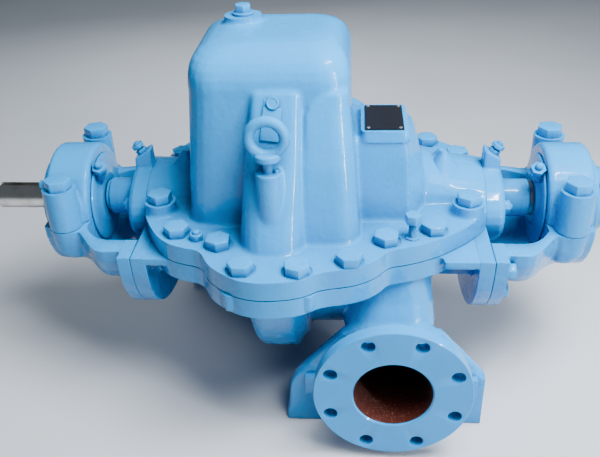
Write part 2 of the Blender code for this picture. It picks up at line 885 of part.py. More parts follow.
def bearing_cap(side, paint):
    profile = (
        (HOUSING_START, 0),
        (HOUSING_START, CAP_RADIUS - 0.005),
        (HOUSING_START + 0.006, CAP_RADIUS),
        (HOUSING_END - 0.006, CAP_RADIUS),
        (HOUSING_END, CAP_RADIUS - 0.005),
        (HOUSING_END, 0),
    )
    pieces = [turned([(side * x, radius) for x, radius in profile])]
    for y in (-CAP_BOSS_Y, CAP_BOSS_Y):
        foot_point = (side * HOUSING_X, y, -0.001)
        top = (side * HOUSING_X, y, CAP_BOSS_TOP)
        pieces.append(cylinder(foot_point, top, CAP_BOSS_RADIUS, CAP_BOSS_RADIUS - 0.001, sides=24))
    bore = SHAFT_RADIUS + RUN_CLEARANCE
    cuts = [below(SEAT_GAP / 2), passage(bore, side * 0.390, side * 0.490)]
    return solid(sided(side, "bearing_cap"), paint, pieces, cuts)


def cap_bolts(side, paint):
    seat = CAP_BOSS_TOP + SEAT_GAP
    for y, place in ((-CAP_BOSS_Y, "front"), (CAP_BOSS_Y, "rear")):
        start = (side * HOUSING_X, y, seat)
        head = hexagon(start, (side * HOUSING_X, y, seat + BOLT_HEAD), BOLT_FLATS)
        solid(sided(side, f"{place}_cap_bolt"), paint, [head])


def inner_cover(side, paint):
    disc = cylinder(
        (side * INNER_COVER_START, 0, 0),
        (side * (HOUSING_START - SEAT_GAP), 0, 0),
        INNER_COVER_RADIUS,
        sides=DISC_SIDES,
    )
    opening = passage(SHAFT_PASSAGE, side * 0.380, side * 0.400)
    return solid(sided(side, "inner_cover"), paint, [disc], [opening])


def outer_covers(paint):
    """An open cover where the shaft leaves and a closed one at the far end."""
    seat = HOUSING_END + SEAT_GAP
    open_cover = cylinder((-seat, 0, 0), (-OUTER_COVER_END, 0, 0), OUTER_COVER_RADIUS, sides=DISC_SIDES)
    solid("left_outer_cover", paint, [open_cover], [passage(SHAFT_PASSAGE, -0.470, -0.500)])
    closed_cover = [
        cylinder((seat, 0, 0), (OUTER_COVER_END, 0, 0), OUTER_COVER_RADIUS, sides=DISC_SIDES),
        cylinder((OUTER_COVER_END - 0.001, 0, 0), (CLOSED_COVER_END, 0, 0), 0.062, 0.056, sides=DISC_SIDES),
    ]
    solid("right_outer_cover", paint, closed_cover, [passage(SHAFT_PASSAGE, 0.470, 0.494)])


# Seals


def lug_slope(side):
    """The frame of the lug's sloping face: X runs down the slope and Z out of it."""
    turn = Matrix.Rotation(math.radians(GLAND_SLOPE), 4, "Y")
    ridge = Matrix.Translation((0.300, 0, GLAND_LUG_TOP)) @ turn
    return ridge if side > 0 else Matrix.Rotation(math.pi, 4, "Z") @ ridge


def seal_gland(side, paint):
    width, height = GLAND_HALF_WIDTH, GLAND_HALF_HEIGHT
    sections = (
        (BRACKET_FACE, width, width, height),
        (GLAND_RIM_END, width, width, height),
        (GLAND_END, width - 0.007, width - 0.007, height - 0.007),
    )
    lug = loft(
        (
            ring(*sorted((side * 0.296, side * 0.326)), -0.022, 0.022, 0.040, 0.004),
            ring(*sorted((side * 0.296, side * 0.325)), -0.015, 0.015, GLAND_LUG_TOP, 0.004),
        )
    )
    pieces = [
        loft([oval(side * x, *sizes) for x, *sizes in sections]),
        cylinder((side * BRACKET_FACE, 0, -0.030), (side * 0.312, 0, -0.030), 0.052, sides=32),
        lug,
    ]
    slope_cut = moved(block((-0.010, -0.040, 0), (0.060, 0.040, 0.040)), lug_slope(side))
    cuts = [passage(SHAFT_PASSAGE, side * 0.290, side * 0.335), slope_cut]
    return solid(sided(side, "seal_gland"), paint, pieces, cuts)


def gland_fitting(side, paint):
    """The flush fitting that stands on the sloping face of the gland's lug."""
    down = 0.016
    pieces = [
        hexagon((down, 0, SEAT_GAP), (down, 0, 0.007), 0.016),
        cylinder((down, 0, 0.006), (down, 0, 0.011), 0.0055, sides=16),
        hexagon((down, 0, 0.010), (down, 0, 0.018), 0.014),
    ]
    slope = lug_slope(side)
    return solid(sided(side, "gland_fitting"), paint, [moved(piece, slope) for piece in pieces])


def grease_fitting(side, paint):
    """A hexagonal plug with a nipple, on the rim of the inner bearing cover."""
    x = side * 0.384
    out = Vector((0, -0.468, 0.884))
    seat = INNER_COVER_RADIUS + SEAT_GAP
    centre = Vector((x, 0, 0))
    pieces = [
        hexagon(centre + out * seat, centre + out * (seat + 0.012), 0.020),
        cylinder(centre + out * (seat + 0.011), centre + out * (seat + 0.017), 0.0055, sides=16),
    ]
    return solid(sided(side, "grease_fitting"), paint, pieces)


# Rotor


def shaft(steel):
    """The shaft, chamfered at its coupling end and cut for a key."""
    profile = (
        (SHAFT_START, 0),
        (SHAFT_START, SHAFT_RADIUS - 0.002),
        (SHAFT_START + 0.002, SHAFT_RADIUS),
        (SHAFT_END - 0.002, SHAFT_RADIUS),
        (SHAFT_END, SHAFT_RADIUS - 0.002),
        (SHAFT_END, 0),
    )
    keyway = block((SHAFT_START - 0.010, -0.006, SHAFT_RADIUS - 0.006), (SHAFT_START + 0.075, 0.006, 0.040))
    return solid("shaft", steel, [turned(profile, steps=40)], [keyway], parent=SHAFT_AXIS)


def drive_collar(side, steel):
    ring_bore = SHAFT_RADIUS + SEAT_GAP + 0.0002
    body = cylinder((side * COLLAR_START, 0, 0), (side * COLLAR_END, 0, 0), COLLAR_RADIUS, sides=40)
    bore = cylinder((side * 0.330, 0, 0), (side * 0.390, 0, 0), ring_bore, sides=40)
    return solid(sided(side, "drive_collar"), steel, [body], [bore], parent=SHAFT_AXIS)


def build():
    casing_paint = finish("casing_blue", BLUE, 0.32, 0.0)
    bearing_paint = finish("bearing_blue", BLUE, 0.30, 0.0)
    fastener_paint = finish("fastener_blue", BLUE, 0.28, 0.0)
    gasket_sheet = finish("gasket_sheet", (0.03, 0.07, 0.11, 1.0), 0.8, 0.0)
    plate_metal = finish("plate_charcoal", (0.03, 0.03, 0.035, 1.0), 0.5, 0.2)
    steel = finish("shaft_steel", (0.56, 0.55, 0.52, 1.0), 0.3, 1.0)
    lower_casing(casing_paint)
    upper_casing(casing_paint)
    casing_gaskets(gasket_sheet)
    rating_plate(plate_metal)
    lug_plate(casing_paint)
    lifting_eye(fastener_paint)
    vent_plug(fastener_paint)
    jack_screw(fastener_paint)
    dowel_nut("front_dowel_nut", -0.182, -0.203, fastener_paint)
    dowel_nut("rear_dowel_nut", 0.182, 0.203, fastener_paint)
    outer_covers(bearing_paint)
    for side in (-1, 1):
        drain_plug(side, fastener_paint)
        bearing_bracket(side, bearing_paint)
        bearing_cap(side, bearing_paint)
        cap_bolts(side, fastener_paint)
        inner_cover(side, bearing_paint)
        seal_gland(side, bearing_paint)
        gland_fitting(side, fastener_paint)
        grease_fitting(side, fastener_paint)
        drive_collar(side, steel)
    shaft(steel)


build()
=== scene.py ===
# %% [markdown]
# # A two-stage boiler feed pump, cast, machined and painted
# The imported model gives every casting, cover, bolt and shaft at its real size. This lesson
# turns those plain solids into painted iron: castings get soft corners and fillets, machined
# faces stay crisp, and every screw and nut gets its own shape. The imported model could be
# traced by hand, but starting from copies of it keeps each piece exactly where it belongs.

# %% Load the fixed frame
import json
import math

import bmesh
import bpy
from mathutils import Matrix, Vector


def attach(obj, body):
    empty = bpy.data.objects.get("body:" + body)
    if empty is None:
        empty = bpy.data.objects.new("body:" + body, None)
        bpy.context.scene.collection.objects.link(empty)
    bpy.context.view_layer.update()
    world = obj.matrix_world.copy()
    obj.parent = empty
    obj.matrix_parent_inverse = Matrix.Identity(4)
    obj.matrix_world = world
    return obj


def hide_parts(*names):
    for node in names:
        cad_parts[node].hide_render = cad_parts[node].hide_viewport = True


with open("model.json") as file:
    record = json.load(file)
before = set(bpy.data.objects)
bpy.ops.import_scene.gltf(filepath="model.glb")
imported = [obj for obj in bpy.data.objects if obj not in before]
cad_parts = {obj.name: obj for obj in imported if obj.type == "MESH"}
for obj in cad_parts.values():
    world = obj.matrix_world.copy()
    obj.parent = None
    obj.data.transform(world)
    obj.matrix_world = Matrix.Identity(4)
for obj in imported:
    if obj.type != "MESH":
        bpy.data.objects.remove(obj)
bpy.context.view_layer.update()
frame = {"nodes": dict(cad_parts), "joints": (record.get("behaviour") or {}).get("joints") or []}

# %% [markdown]
# The pump is easiest to think about from the middle of its shaft: X runs along the shaft,
# the parting plane is z = 0, and most of the casing looks the same after half a turn about Z.
# Every piece below is modelled about that point and moved to its place once, when it is
# finished. Working in the frame's own coordinates would also do, with longer sums.

# %% Where the middle of the shaft is
CENTRE = Vector(frame["joints"][0]["pos_m"])
TO_FRAME = Matrix.Translation(CENTRE)
FROM_FRAME = Matrix.Translation(-CENTRE)
HALF_TURN = Matrix.Rotation(math.pi, 4, "Z")
print("shaft centre", tuple(CENTRE))

# %% [markdown]
# The main sizes of the real pump, in metres. A flange is a machined plate, so its faces are
# the places that everything else is measured from.

# %% Named sizes
ENDS = ((-1, "left"), (1, "right"))
WELD = 0.00001
PARTING_GAP, HOUSING_GAP = 0.0009, 0.0008  # half the dark line between two castings
FLANGE_TOP, FLANGE_BOTTOM = 0.032, -0.0323
END_PLATE_BACK, CASING_END = 0.2702, 0.2947
BRACKET_FACE, BRACKET_FLANGE_END, GLAND_FACE = 0.2957, 0.3170, 0.2952
FLANGE_SECTION, END_PLATE_SECTION, BRACKET_SECTION = 0.0312, 0.286, 0.307  # to read outlines
PLATE_LIFT = 0.0003  # how far a crisp plate stands out of the cast skin
SOLID_END_FACE, SOLID_HOUSING_FACE = 0.295, 0.00015  # faces of the plain solids
CASING_BORE, GLAND_BORE, BEARING_BORE, COLLAR_BORE = 0.030, 0.0302, 0.0252, 0.0242
COVER_SCREW_FACE, COVER_SCREW_CIRCLE = 0.4875, 0.0675
ABOVE_FEET = -0.175
FLOOR = -CENTRE.z
NOZZLE_X, NOZZLE_Z, NOZZLE_FACE, NOZZLE_FLANGE = 0.135, -0.180, 0.328, 0.0238
SUCTION = {"bore": 0.0635, "neck": 0.0706, "rim": 0.127, "circle": 0.10795, "hole": 0.0111}
DISCHARGE = {"bore": 0.0508, "neck": 0.0585, "rim": 0.1143, "circle": 0.09525, "hole": 0.0095}
HOUSING_X, CAP_BOSS_Y, CAP_BOSS_TOP = 0.435, 0.111, 0.075
PAD_TOP = 0.182
VENT = Vector((-0.115, 0.020, 0.331))
EYE = Vector((-0.058, -0.215, 0.160))
ALLOWANCE = 0.008

# %% [markdown]
# Small bmesh helpers. A bar is a cone or cylinder between two points, and a turned shape is
# a profile spun about the X axis, which `stood` then stands upright. `placed` moves a shape
# and hands it back, so that calls can be nested. A modifier stack could do the same, but
# then every small part would be an object of its own.

# %% Shape helpers
def mesh_of(bm, name="work"):
    """A mesh with the shape of a bmesh, which is used up."""
    mesh = bpy.data.meshes.new(name)
    bm.to_mesh(mesh)
    bm.free()
    return mesh


def new_object(name, data):
    made = bpy.data.objects.new(name, data)
    bpy.context.scene.collection.objects.link(made)
    return made


def placed(bm, matrix):
    bm.transform(matrix)
    return bm


def bar(start, end, radius, end_radius=None, sides=48):
    """A round bar or cone from one point to another."""
    start, end = Vector(start), Vector(end)
    along = end - start
    tip = radius if end_radius is None else end_radius
    bm = bmesh.new()
    bmesh.ops.create_cone(
        bm, cap_ends=True, segments=sides, radius1=radius, radius2=tip, depth=along.length
    )
    turn = along.to_track_quat("Z", "Y").to_matrix().to_4x4()
    return placed(bm, Matrix.Translation((start + end) / 2) @ turn)


def box(low, high):
    low, high = Vector(low), Vector(high)
    bm = bmesh.new()
    bmesh.ops.create_cube(bm, size=1)
    return placed(bm, Matrix.Translation((low + high) / 2) @ Matrix.Diagonal((*(high - low), 1)))


def spun(bm, geom, axis, steps):
    """Spins edges one full turn and closes the skin."""
    bmesh.ops.spin(
        bm, geom=geom, cent=(0, 0, 0), axis=axis, angle=2 * math.pi, steps=steps, use_merge=True
    )
    bmesh.ops.remove_doubles(bm, verts=bm.verts, dist=WELD)
    bmesh.ops.recalc_face_normals(bm, faces=bm.faces)
    return bm


def turned(profile, steps=96, closed=False):
    """A shape turned about X from (x, radius) points; a closed profile makes a ring."""
    bm = bmesh.new()
    verts = [bm.verts.new((x, 0, radius)) for x, radius in profile]
    pairs = list(zip(verts, verts[1:]))
    if closed:
        pairs.append((verts[-1], verts[0]))
    edges = [bm.edges.new(pair) for pair in pairs]
    return spun(bm, verts + edges, (1, 0, 0), steps)


def upright(place):
    """Stands a turned shape up, so that its X becomes the height above a place."""
    return Matrix.Translation(place) @ Matrix.Rotation(-math.pi / 2, 4, "Y")


def stood(profile, place, steps=48):
    """An upright turned shape from (height, radius) points."""
    return placed(turned(profile, steps), upright(place))


def mirrored(profile, side):
    """A profile for the left end, side -1, or the right end, side 1."""
    return [(side * x, radius) for x, radius in profile]


def joined(parts):
    """Several shapes as one bmesh; the parts are used up."""
    whole = bmesh.new()
    for part in parts:
        mesh = mesh_of(part)
        whole.from_mesh(mesh)
        bpy.data.meshes.remove(mesh)
    return whole


def bevel(bm, edges, width, segments=2, clamp=True):
    """Bevels some edges; the clamp stops bevels that would run into each other."""
    bmesh.ops.bevel(
        bm, geom=edges, offset=width, segments=segments, affect="EDGES", profile=0.5,
        material=-1, clamp_overlap=clamp,
    )
    return bm


def soften(bm, width, angle=40, segments=2):
    """Bevels every edge that is sharper than an angle."""
    sharp = [e for e in bm.edges if e.is_manifold and e.calc_face_angle(0) > math.radians(angle)]
    return bevel(bm, sharp, width, segments)


def marked(bm, angle):
    """Marks every edge sharper than an angle, so that flat faces stay flat beside it."""
    for edge in bm.edges:
        edge.smooth = not edge.is_manifold or edge.calc_face_angle(0) < math.radians(angle)
    for face in bm.faces:
        face.smooth = True
    return bm


print("helpers ready")

# %% [markdown]
# A finished piece becomes an object whose mesh already lies in its real place, and it rides
# on the body that carries it. Where it stands for a plain solid, that solid is hidden.

# %% Turn a bmesh into a piece
def add_piece(name, bm, finish, body="pump", replaces=(), angle=24):
    """Makes the object; an angle of None keeps the sharp edges already marked."""
    if angle is not None:
        marked(bm, angle)
    bm.transform(TO_FRAME)
    mesh = mesh_of(bm, name)
    mesh.materials.append(finish)
    made = new_object(name, mesh)
    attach(made, body)
    if replaces:
        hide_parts(*replaces)
    print(name, len(mesh.polygons), "faces")


def add_casting(name, bm, node):
    """A casting in the place of its solid."""
    add_piece(name, bm, CAST_BLUE, replaces=(node,), angle=None)


def add_fastener(name, bm, *nodes):
    """A bolt, nut or fitting, or several of them."""
    add_piece(name, bm, BOLT_BLUE, replaces=nodes)


# %% [markdown]
# ## Paint
# The pump wears one coat of gloss light-blue enamel over rough iron. Real enamel is never
# one flat colour: its tone wanders a little, and the sand texture of the casting prints
# through as a fine orange peel. An image texture could carry that, but noise on object
# coordinates needs no seams and stays the right size on every piece. The corners and
# recesses get painted shade: an ambient occlusion node darkens the colour where shade falls.

# %% Node helpers
def new_finish(name, roughness, metallic=0.0):
    made = bpy.data.materials.new(name)
    made.use_nodes = True
    tree = made.node_tree
    shader = tree.nodes["Principled BSDF"]
    shader.inputs["Roughness"].default_value = roughness
    shader.inputs["Metallic"].default_value = metallic
    place = tree.nodes.new("ShaderNodeTexCoord")
    return made, tree, shader, place.outputs["Object"]


def noise(tree, place, scale, detail=3.0, stretch=None):
    """Noise on object coordinates, in cells a metre."""
    if stretch is not None:
        mapping = tree.nodes.new("ShaderNodeMapping")
        mapping.inputs["Scale"].default_value = stretch
        tree.links.new(place, mapping.inputs["Vector"])
        place = mapping.outputs["Vector"]
    node = tree.nodes.new("ShaderNodeTexNoise")
    node.inputs["Scale"].default_value = scale
    node.inputs["Detail"].default_value = detail
    tree.links.new(place, node.inputs["Vector"])
    return node.outputs["Fac"]


def ramp(tree, value, stops):
    """A colour ramp through (position, colour) stops."""
    node = tree.nodes.new("ShaderNodeValToRGB")
    points = node.color_ramp.elements
    while len(points) < len(stops):
        points.new(0.5)
    for point, (position, colour) in zip(points, stops):
        point.position = position
        point.color = (*colour, 1)
    tree.links.new(value, node.inputs["Fac"])
    return node.outputs["Color"]


def bump(tree, shader, layers):
    """Stacks (height, strength, distance) layers of bump into the shader's normal."""
    normal = None
    for height, strength, distance in layers:
        node = tree.nodes.new("ShaderNodeBump")
        node.inputs["Strength"].default_value = strength
        node.inputs["Distance"].default_value = distance
        tree.links.new(height, node.inputs["Height"])
        if normal is not None:
            tree.links.new(normal, node.inputs["Normal"])
        normal = node.outputs["Normal"]
    tree.links.new(normal, shader.inputs["Normal"])


def shade(colour, factor):
    return tuple(channel * factor for channel in colour)


def multiplied(tree, first, second):
    """The product of two colours."""
    node = tree.nodes.new("ShaderNodeMix")
    node.data_type = "RGBA"
    node.blend_type = "MULTIPLY"
    node.inputs["Factor"].default_value = 1.0
    tree.links.new(first, node.inputs["A"])
    tree.links.new(second, node.inputs["B"])
    return node.outputs["Result"]


BLUE = (0.002, 0.225, 0.560)
# The dark navy that the painted shade reaches in corners and recesses.
PAINTED_SHADE_BLUE = (0.05, 0.16, 0.22)
WHITE = (1, 1, 1)
print("node helpers ready")

# %% Blue enamel, rougher on castings and smoother on machined faces
def enamel(name, peel, sand, undulation, roughness):
    """Gloss blue enamel with painted shade in its corners, over three bumps: fine peel, the print
    of the sand and slow waves.
    """
    made, tree, shader, place = new_finish(name, roughness)
    cloud = noise(tree, place, 9, 4)
    tone = ramp(tree, cloud, [(0.30, shade(BLUE, 0.92)), (0.72, shade(BLUE, 1.06))])
    # Painted shade: ambient occlusion darkens the base colour to dark navy in corners, creases and
    # recesses.
    corner = tree.nodes.new("ShaderNodeAmbientOcclusion")
    corner.inputs["Distance"].default_value = 0.07
    corner.samples = 6
    hollow = ramp(tree, corner.outputs["AO"], [(0.10, PAINTED_SHADE_BLUE), (0.75, WHITE)])
    tree.links.new(multiplied(tree, tone, hollow), shader.inputs["Base Color"])
    gloss = tree.nodes.new("ShaderNodeMapRange")
    gloss.inputs["To Min"].default_value = roughness - 0.05
    gloss.inputs["To Max"].default_value = roughness + 0.08
    tree.links.new(noise(tree, place, 40, 2), gloss.inputs["Value"])
    tree.links.new(gloss.outputs["Result"], shader.inputs["Roughness"])
    shader.inputs["Specular IOR Level"].default_value = 0.20
    shader.inputs["Coat Weight"].default_value = 0.50
    shader.inputs["Coat Roughness"].default_value = 0.05
    layers = [
        (noise(tree, place, 38, 2), undulation, 0.0012),
        (noise(tree, place, 130, 2), sand, 0.0006),
        (noise(tree, place, 330, 2), peel, 0.0003),
    ]
    bump(tree, shader, layers)
    return made


CAST_BLUE = enamel("cast_blue_enamel", 0.42, 0.80, 0.30, 0.27)
SMOOTH_BLUE = enamel("machined_blue_enamel", 0.12, 0.10, 0.10, 0.30)
BOLT_BLUE = enamel("fastener_blue_enamel", 0.16, 0.12, 0.12, 0.26)
print(CAST_BLUE.name, SMOOTH_BLUE.name, BOLT_BLUE.name)

# %% [markdown]
# The bare finishes: a turned steel shaft with fine rings round it, the red-brown primer
# inside the pipe openings, the dark sheet between the casing halves and the plate.

# %% Steel, primer, gasket sheet and plate
def turned_steel():
    made, tree, shader, place = new_finish("turned_steel", 0.3, 1.0)
    rings = noise(tree, place, 1, 3, stretch=(2600, 40, 40))
    stain = noise(tree, place, 30, 4)
    tone = ramp(tree, stain, [(0.30, (0.50, 0.45, 0.39)), (0.60, (0.80, 0.77, 0.72))])
    tree.links.new(tone, shader.inputs["Base Color"])
    bump(tree, shader, [(rings, 0.25, 0.0002)])
    return made


def bore_primer():
    """Red-brown primer with painted shade that darkens it towards the bottom of the opening."""
    made, tree, shader, place = new_finish("red_brown_primer", 0.6)
    grain = noise(tree, place, 420, 3)
    dark, light, chalky = (0.026, 0.005, 0.004), (0.062, 0.014, 0.010), (0.30, 0.14, 0.11)
    tone = ramp(tree, grain, [(0.35, dark), (0.62, light), (0.73, chalky)])
    # Painted shade: the colour falls to near black deeper inside the opening, measured along Y.
    split = tree.nodes.new("ShaderNodeSeparateXYZ")
    tree.links.new(place, split.inputs["Vector"])
    far = tree.nodes.new("ShaderNodeMath")
    far.operation = "ABSOLUTE"
    tree.links.new(split.outputs["Y"], far.inputs[0])
    depth = tree.nodes.new("ShaderNodeMapRange")
    depth.inputs["From Min"].default_value = 0.215
    depth.inputs["From Max"].default_value = 0.320
    tree.links.new(far.outputs["Value"], depth.inputs["Value"])
    painted_depth_shade = ramp(tree, depth.outputs["Result"], [(0.0, (0.02, 0.02, 0.02)), (0.9, WHITE)])
    tree.links.new(multiplied(tree, tone, painted_depth_shade), shader.inputs["Base Color"])
    bump(tree, shader, [(grain, 0.5, 0.0006)])
    return made


def plain(name, dark, light, roughness, metallic, scale):
    """A finish of two close tones in a fine grain."""
    made, tree, shader, place = new_finish(name, roughness, metallic)
    grain = noise(tree, place, scale, 3)
    tree.links.new(ramp(tree, grain, [(0.35, dark), (0.65, light)]), shader.inputs["Base Color"])
    bump(tree, shader, [(grain, 0.15, 0.0002)])
    return made


STEEL = turned_steel()
PRIMER = bore_primer()
GASKET_SHEET = plain("gasket_sheet", (0.003, 0.008, 0.016), (0.006, 0.014, 0.024), 0.8, 0.0, 300)
PLATE_DARK = plain("plate_charcoal", (0.006, 0.007, 0.010), (0.011, 0.012, 0.016), 0.45, 0.2, 500)
RIVET_METAL = plain("rivet_metal", (0.45, 0.47, 0.50), (0.62, 0.64, 0.66), 0.3, 0.9, 500)
print("finishes", len(bpy.data.materials))

# %% [markdown]
# ## Castings
# A sand casting has no sharp corner: outer edges come out rounded and inner corners carry
# a fillet. Bevelling thousands of Boolean edges by hand would break down where they meet.
# A voxel remesh turns the whole solid into one even skin instead, smoothing rounds it, and
# extra smoothing only in the hollows gives the wider fillets at the foot of each wall.
# Faces that are machined later first get an allowance, as in a real pattern, and the
# allowance is then cut off, which leaves those faces flat with crisp edges.

# %% Cast a solid, then cut it
def cad_copy(node):
    """A node's solid as a bmesh about the shaft's middle."""
    bm = bmesh.new()
    bm.from_mesh(frame["nodes"][node].data)
    bmesh.ops.remove_doubles(bm, verts=bm.verts, dist=WELD)
    return placed(bm, FROM_FRAME)


def add_allowance(bm, axis, level, amount=ALLOWANCE):
    """Moves the corners of one flat face outwards."""
    for vert in bm.verts:
        if abs(vert.co[axis] - level) < 0.0002:
            vert.co[axis] += amount


def pad_ends(bm):
    """Gives both ends of a casing their allowance."""
    for side in (-1, 1):
        add_allowance(bm, 0, side * CASING_END, side * ALLOWANCE)


def evaluated(bm, kind, **settings):
    """What one modifier makes of a bmesh."""
    mesh = mesh_of(bm)
    holder = new_object("holder", mesh)
    modifier = holder.modifiers.new("step", kind)
    for key, value in settings.items():
        setattr(modifier, key, value)
    graph = bpy.context.evaluated_depsgraph_get()
    result = bpy.data.meshes.new_from_object(holder.evaluated_get(graph))
    after = bmesh.new()
    after.from_mesh(result)
    bpy.data.objects.remove(holder)
    bpy.data.meshes.remove(mesh)
    bpy.data.meshes.remove(result)
    return after


def relax(bm, verts, times=1):
    """Moves each vertex half way to the middle of its neighbours."""
    for _ in range(times):
        bmesh.ops.smooth_vert(
            bm, verts=verts, factor=0.5, use_axis_x=True, use_axis_y=True, use_axis_z=True
        )


def cast(bm, voxel, rounding, filleting):
    """The solid as it comes out of the sand: rounded edges and wider fillets."""
    skin = evaluated(bm, "REMESH", mode="VOXEL", voxel_size=voxel, adaptivity=0.0)
    relax(skin, skin.verts, rounding)
    for _ in range(filleting):
        skin.normal_update()
        hollow = {v for e in skin.edges if e.calc_face_angle_signed(0) < -0.05 for v in e.verts}
        relax(skin, list(hollow), 2)
    return skin


def sliced(bm, point, normal, both=False):
    """Slices a shape at a plane, drops what lies beyond or both sides, and gives the cut."""
    geom = list(bm.verts) + list(bm.edges) + list(bm.faces)
    done = bmesh.ops.bisect_plane(
        bm, geom=geom, dist=0.000001, plane_co=point, plane_no=normal, clear_outer=True,
        clear_inner=both,
    )
    return [g for g in done["geom_cut"] if isinstance(g, bmesh.types.BMEdge)]


def cut_flat(bm, point, outward, chamfer=0.0008):
    """Cuts off everything beyond a plane, closes the cut and breaks its edges."""
    rim = sliced(bm, point, outward)
    filled = bmesh.ops.triangle_fill(bm, edges=rim, use_beauty=True, normal=outward)
    faces = [g for g in filled["geom"] if isinstance(g, bmesh.types.BMFace)]
    for face in faces:
        if face.normal.dot(Vector(outward)) < 0:
            face.normal_flip()
    if chamfer:
        bevel(bm, [e for e in rim if e.is_valid], chamfer, segments=1)
    # A bevel can push a corner past the plane, so what lies beyond it is drawn back.
    for vert in bm.verts:
        beyond = (vert.co - Vector(point)).dot(Vector(outward))
        if beyond > 0:
            vert.co -= Vector(outward) * beyond
    return bm


def trim_ends(bm):
    """Cuts the allowance off both ends of a casing."""
    for side in (-1, 1):
        cut_flat(bm, (side * CASING_END, 0, 0), (side, 0, 0))


def combined(bm, other, operation):
    """What a Boolean makes of two shapes; both are used up."""
    tool = new_object("tool", mesh_of(other))
    after = evaluated(bm, "BOOLEAN", operation=operation, object=tool, solver="EXACT")
    bpy.data.objects.remove(tool)
    return after


def machine(bm, cutters):
    """Takes the cutters, which don't touch each other, out of the casting."""
    return combined(bm, joined(cutters), "DIFFERENCE")


def thicken(bm, faces, along):
    """Gives flat faces a thickness."""
    raised = bmesh.ops.extrude_face_region(bm, geom=faces, use_keep_orig=True)
    moved = [g for g in raised["geom"] if isinstance(g, bmesh.types.BMVert)]
    bmesh.ops.translate(bm, verts=moved, vec=along)
    bmesh.ops.recalc_face_normals(bm, faces=bm.faces)
    return bm


def grow_rim(bm, normal, amount):
    """Moves the rim of a flat sheet outwards in its own plane."""
    shifts = {}
    for edge in bm.edges:
        if edge.is_boundary:
            start, end = (vert.co for vert in edge.verts)
            out = (end - start).cross(normal).normalized()
            if out.dot(edge.link_faces[0].calc_center_median() - (start + end) / 2) > 0:
                out.negate()
            for vert in edge.verts:
                shifts[vert] = shifts.get(vert, Vector()) + out
    for vert, shift in shifts.items():
        vert.co += shift.normalized() * amount


def section_plate(node, axis, level, low, high, edge, lowest=-1.0):
    """A crisp plate from low to high, with the outline that a solid has at a level of an axis.

    Anything of the outline that lies below the lowest height is left out."""
    bm = cad_copy(node)
    normal = Vector([float(index == axis) for index in range(3)])
    sliced(bm, normal * level, normal, both=True)
    bmesh.ops.delete(bm, geom=[v for v in bm.verts if v.co.z < lowest], context="VERTS")
    bmesh.ops.remove_doubles(bm, verts=bm.verts, dist=0.0003)
    bmesh.ops.dissolve_limit(bm, angle_limit=math.radians(1), verts=bm.verts, edges=bm.edges)
    long = [e for e in bm.edges if 0.008 < e.calc_length() < 0.045]
    bmesh.ops.subdivide_edges(bm, edges=long, cuts=2, smooth=0)
    for _ in range(3):
        relax(bm, [v for v in bm.verts if len(v.link_edges) == 2 and v.calc_edge_angle(0) < 0.35])
    filled = bmesh.ops.triangle_fill(bm, edges=bm.edges, use_beauty=True, normal=normal)
    faces = [g for g in filled["geom"] if isinstance(g, bmesh.types.BMFace)]
    grow_rim(bm, normal, PLATE_LIFT)
    bmesh.ops.translate(bm, verts=bm.verts, vec=normal * (low - level))
    thicken(bm, faces, normal * (high - low))
    rim = [
        e for e in bm.edges
        if e.is_manifold and e.calc_face_angle(0) > 1.4
        and abs(e.verts[0].co[axis] - e.verts[1].co[axis]) < 0.0001
    ]
    return marked(bevel(bm, rim, edge), 20)


print("foundry ready")

# %% [markdown]
# ## The upper casing
# One casting carries the crossover hump, both volutes, the bosses and the upper half of
# the parting flange. Each bolt sits in a spot face, a shallow round recess that gives its
# head a flat seat and leaves the bright arcs seen beside the bolts.

# %% Bolt places on the parting flange
FRONT_BOLTS = [
    (-0.218, -0.185), (-0.144, -0.221), (-0.099, -0.289), (-0.014, -0.291), (0.064, -0.263),
    (0.122, -0.204), (0.199, -0.170),
]
REAR_BOLTS = [(-x, -y) for x, y in FRONT_BOLTS[1:6]] + [(0.213, 0.165), (-0.207, 0.178)]
FLANGE_BOLTS = [(x, y, FLANGE_TOP) for x, y in FRONT_BOLTS + REAR_BOLTS]
FRONT_BOSS_TOP, REAR_BOSS_TOP = 0.052, 0.0335
BOSS_BOLTS = [
    (side * x, y, top)
    for x, y, top in ((0.260, -0.112, FRONT_BOSS_TOP), (0.265, 0.099, REAR_BOSS_TOP))
    for side in (-1, 1)
]
SPOT_RADIUS, SPOT_DEPTH, SPOT_RIM, HEAD_ROOM = 0.0235, 0.0009, 0.0022, 0.034
print("bolts", len(FLANGE_BOLTS) + len(BOSS_BOLTS))


# %% Cast and machine the upper half
def stepped_cutter(x, y, steps):
    """An upright round cutter from (height, radius) steps."""
    return stood([(steps[0][0], 0), *steps, (steps[-1][0], 0)], (x, y, 0))


def spot_face(x, y, level):
    """A shallow round seat, open above."""
    steps = [(level - SPOT_DEPTH, SPOT_RADIUS), (level + HEAD_ROOM, SPOT_RADIUS)]
    return stepped_cutter(x, y, steps)


def boss_face(x, y, level):
    """A boss planed flat, with a shallow seat inside its rim."""
    inner = SPOT_RADIUS - SPOT_RIM
    seat = [(level - SPOT_DEPTH, inner), (level, inner)]
    return stepped_cutter(x, y, seat + [(level, HEAD_ROOM), (level + HEAD_ROOM, HEAD_ROOM)])


def ridge(x, y, low, high, reach):
    """A stiffening horn on top of a stuffing box: hollow faces that meet in a crest along X."""
    profile = [(0, 0)]
    for step in range(9):
        up = step / 8
        profile.append((up * (high - low), 0.006 + reach * (1 - up) ** 1.35))
    profile.append((high - low, 0))
    horn = turned(profile, 24)
    for vert in horn.verts:
        radius = math.hypot(vert.co.y, vert.co.z)
        if radius > 0.001:
            vert.co.y *= 0.95 * math.sqrt(abs(vert.co.y) / radius)
    return marked(placed(horn, upright((x, y, low))), 40)


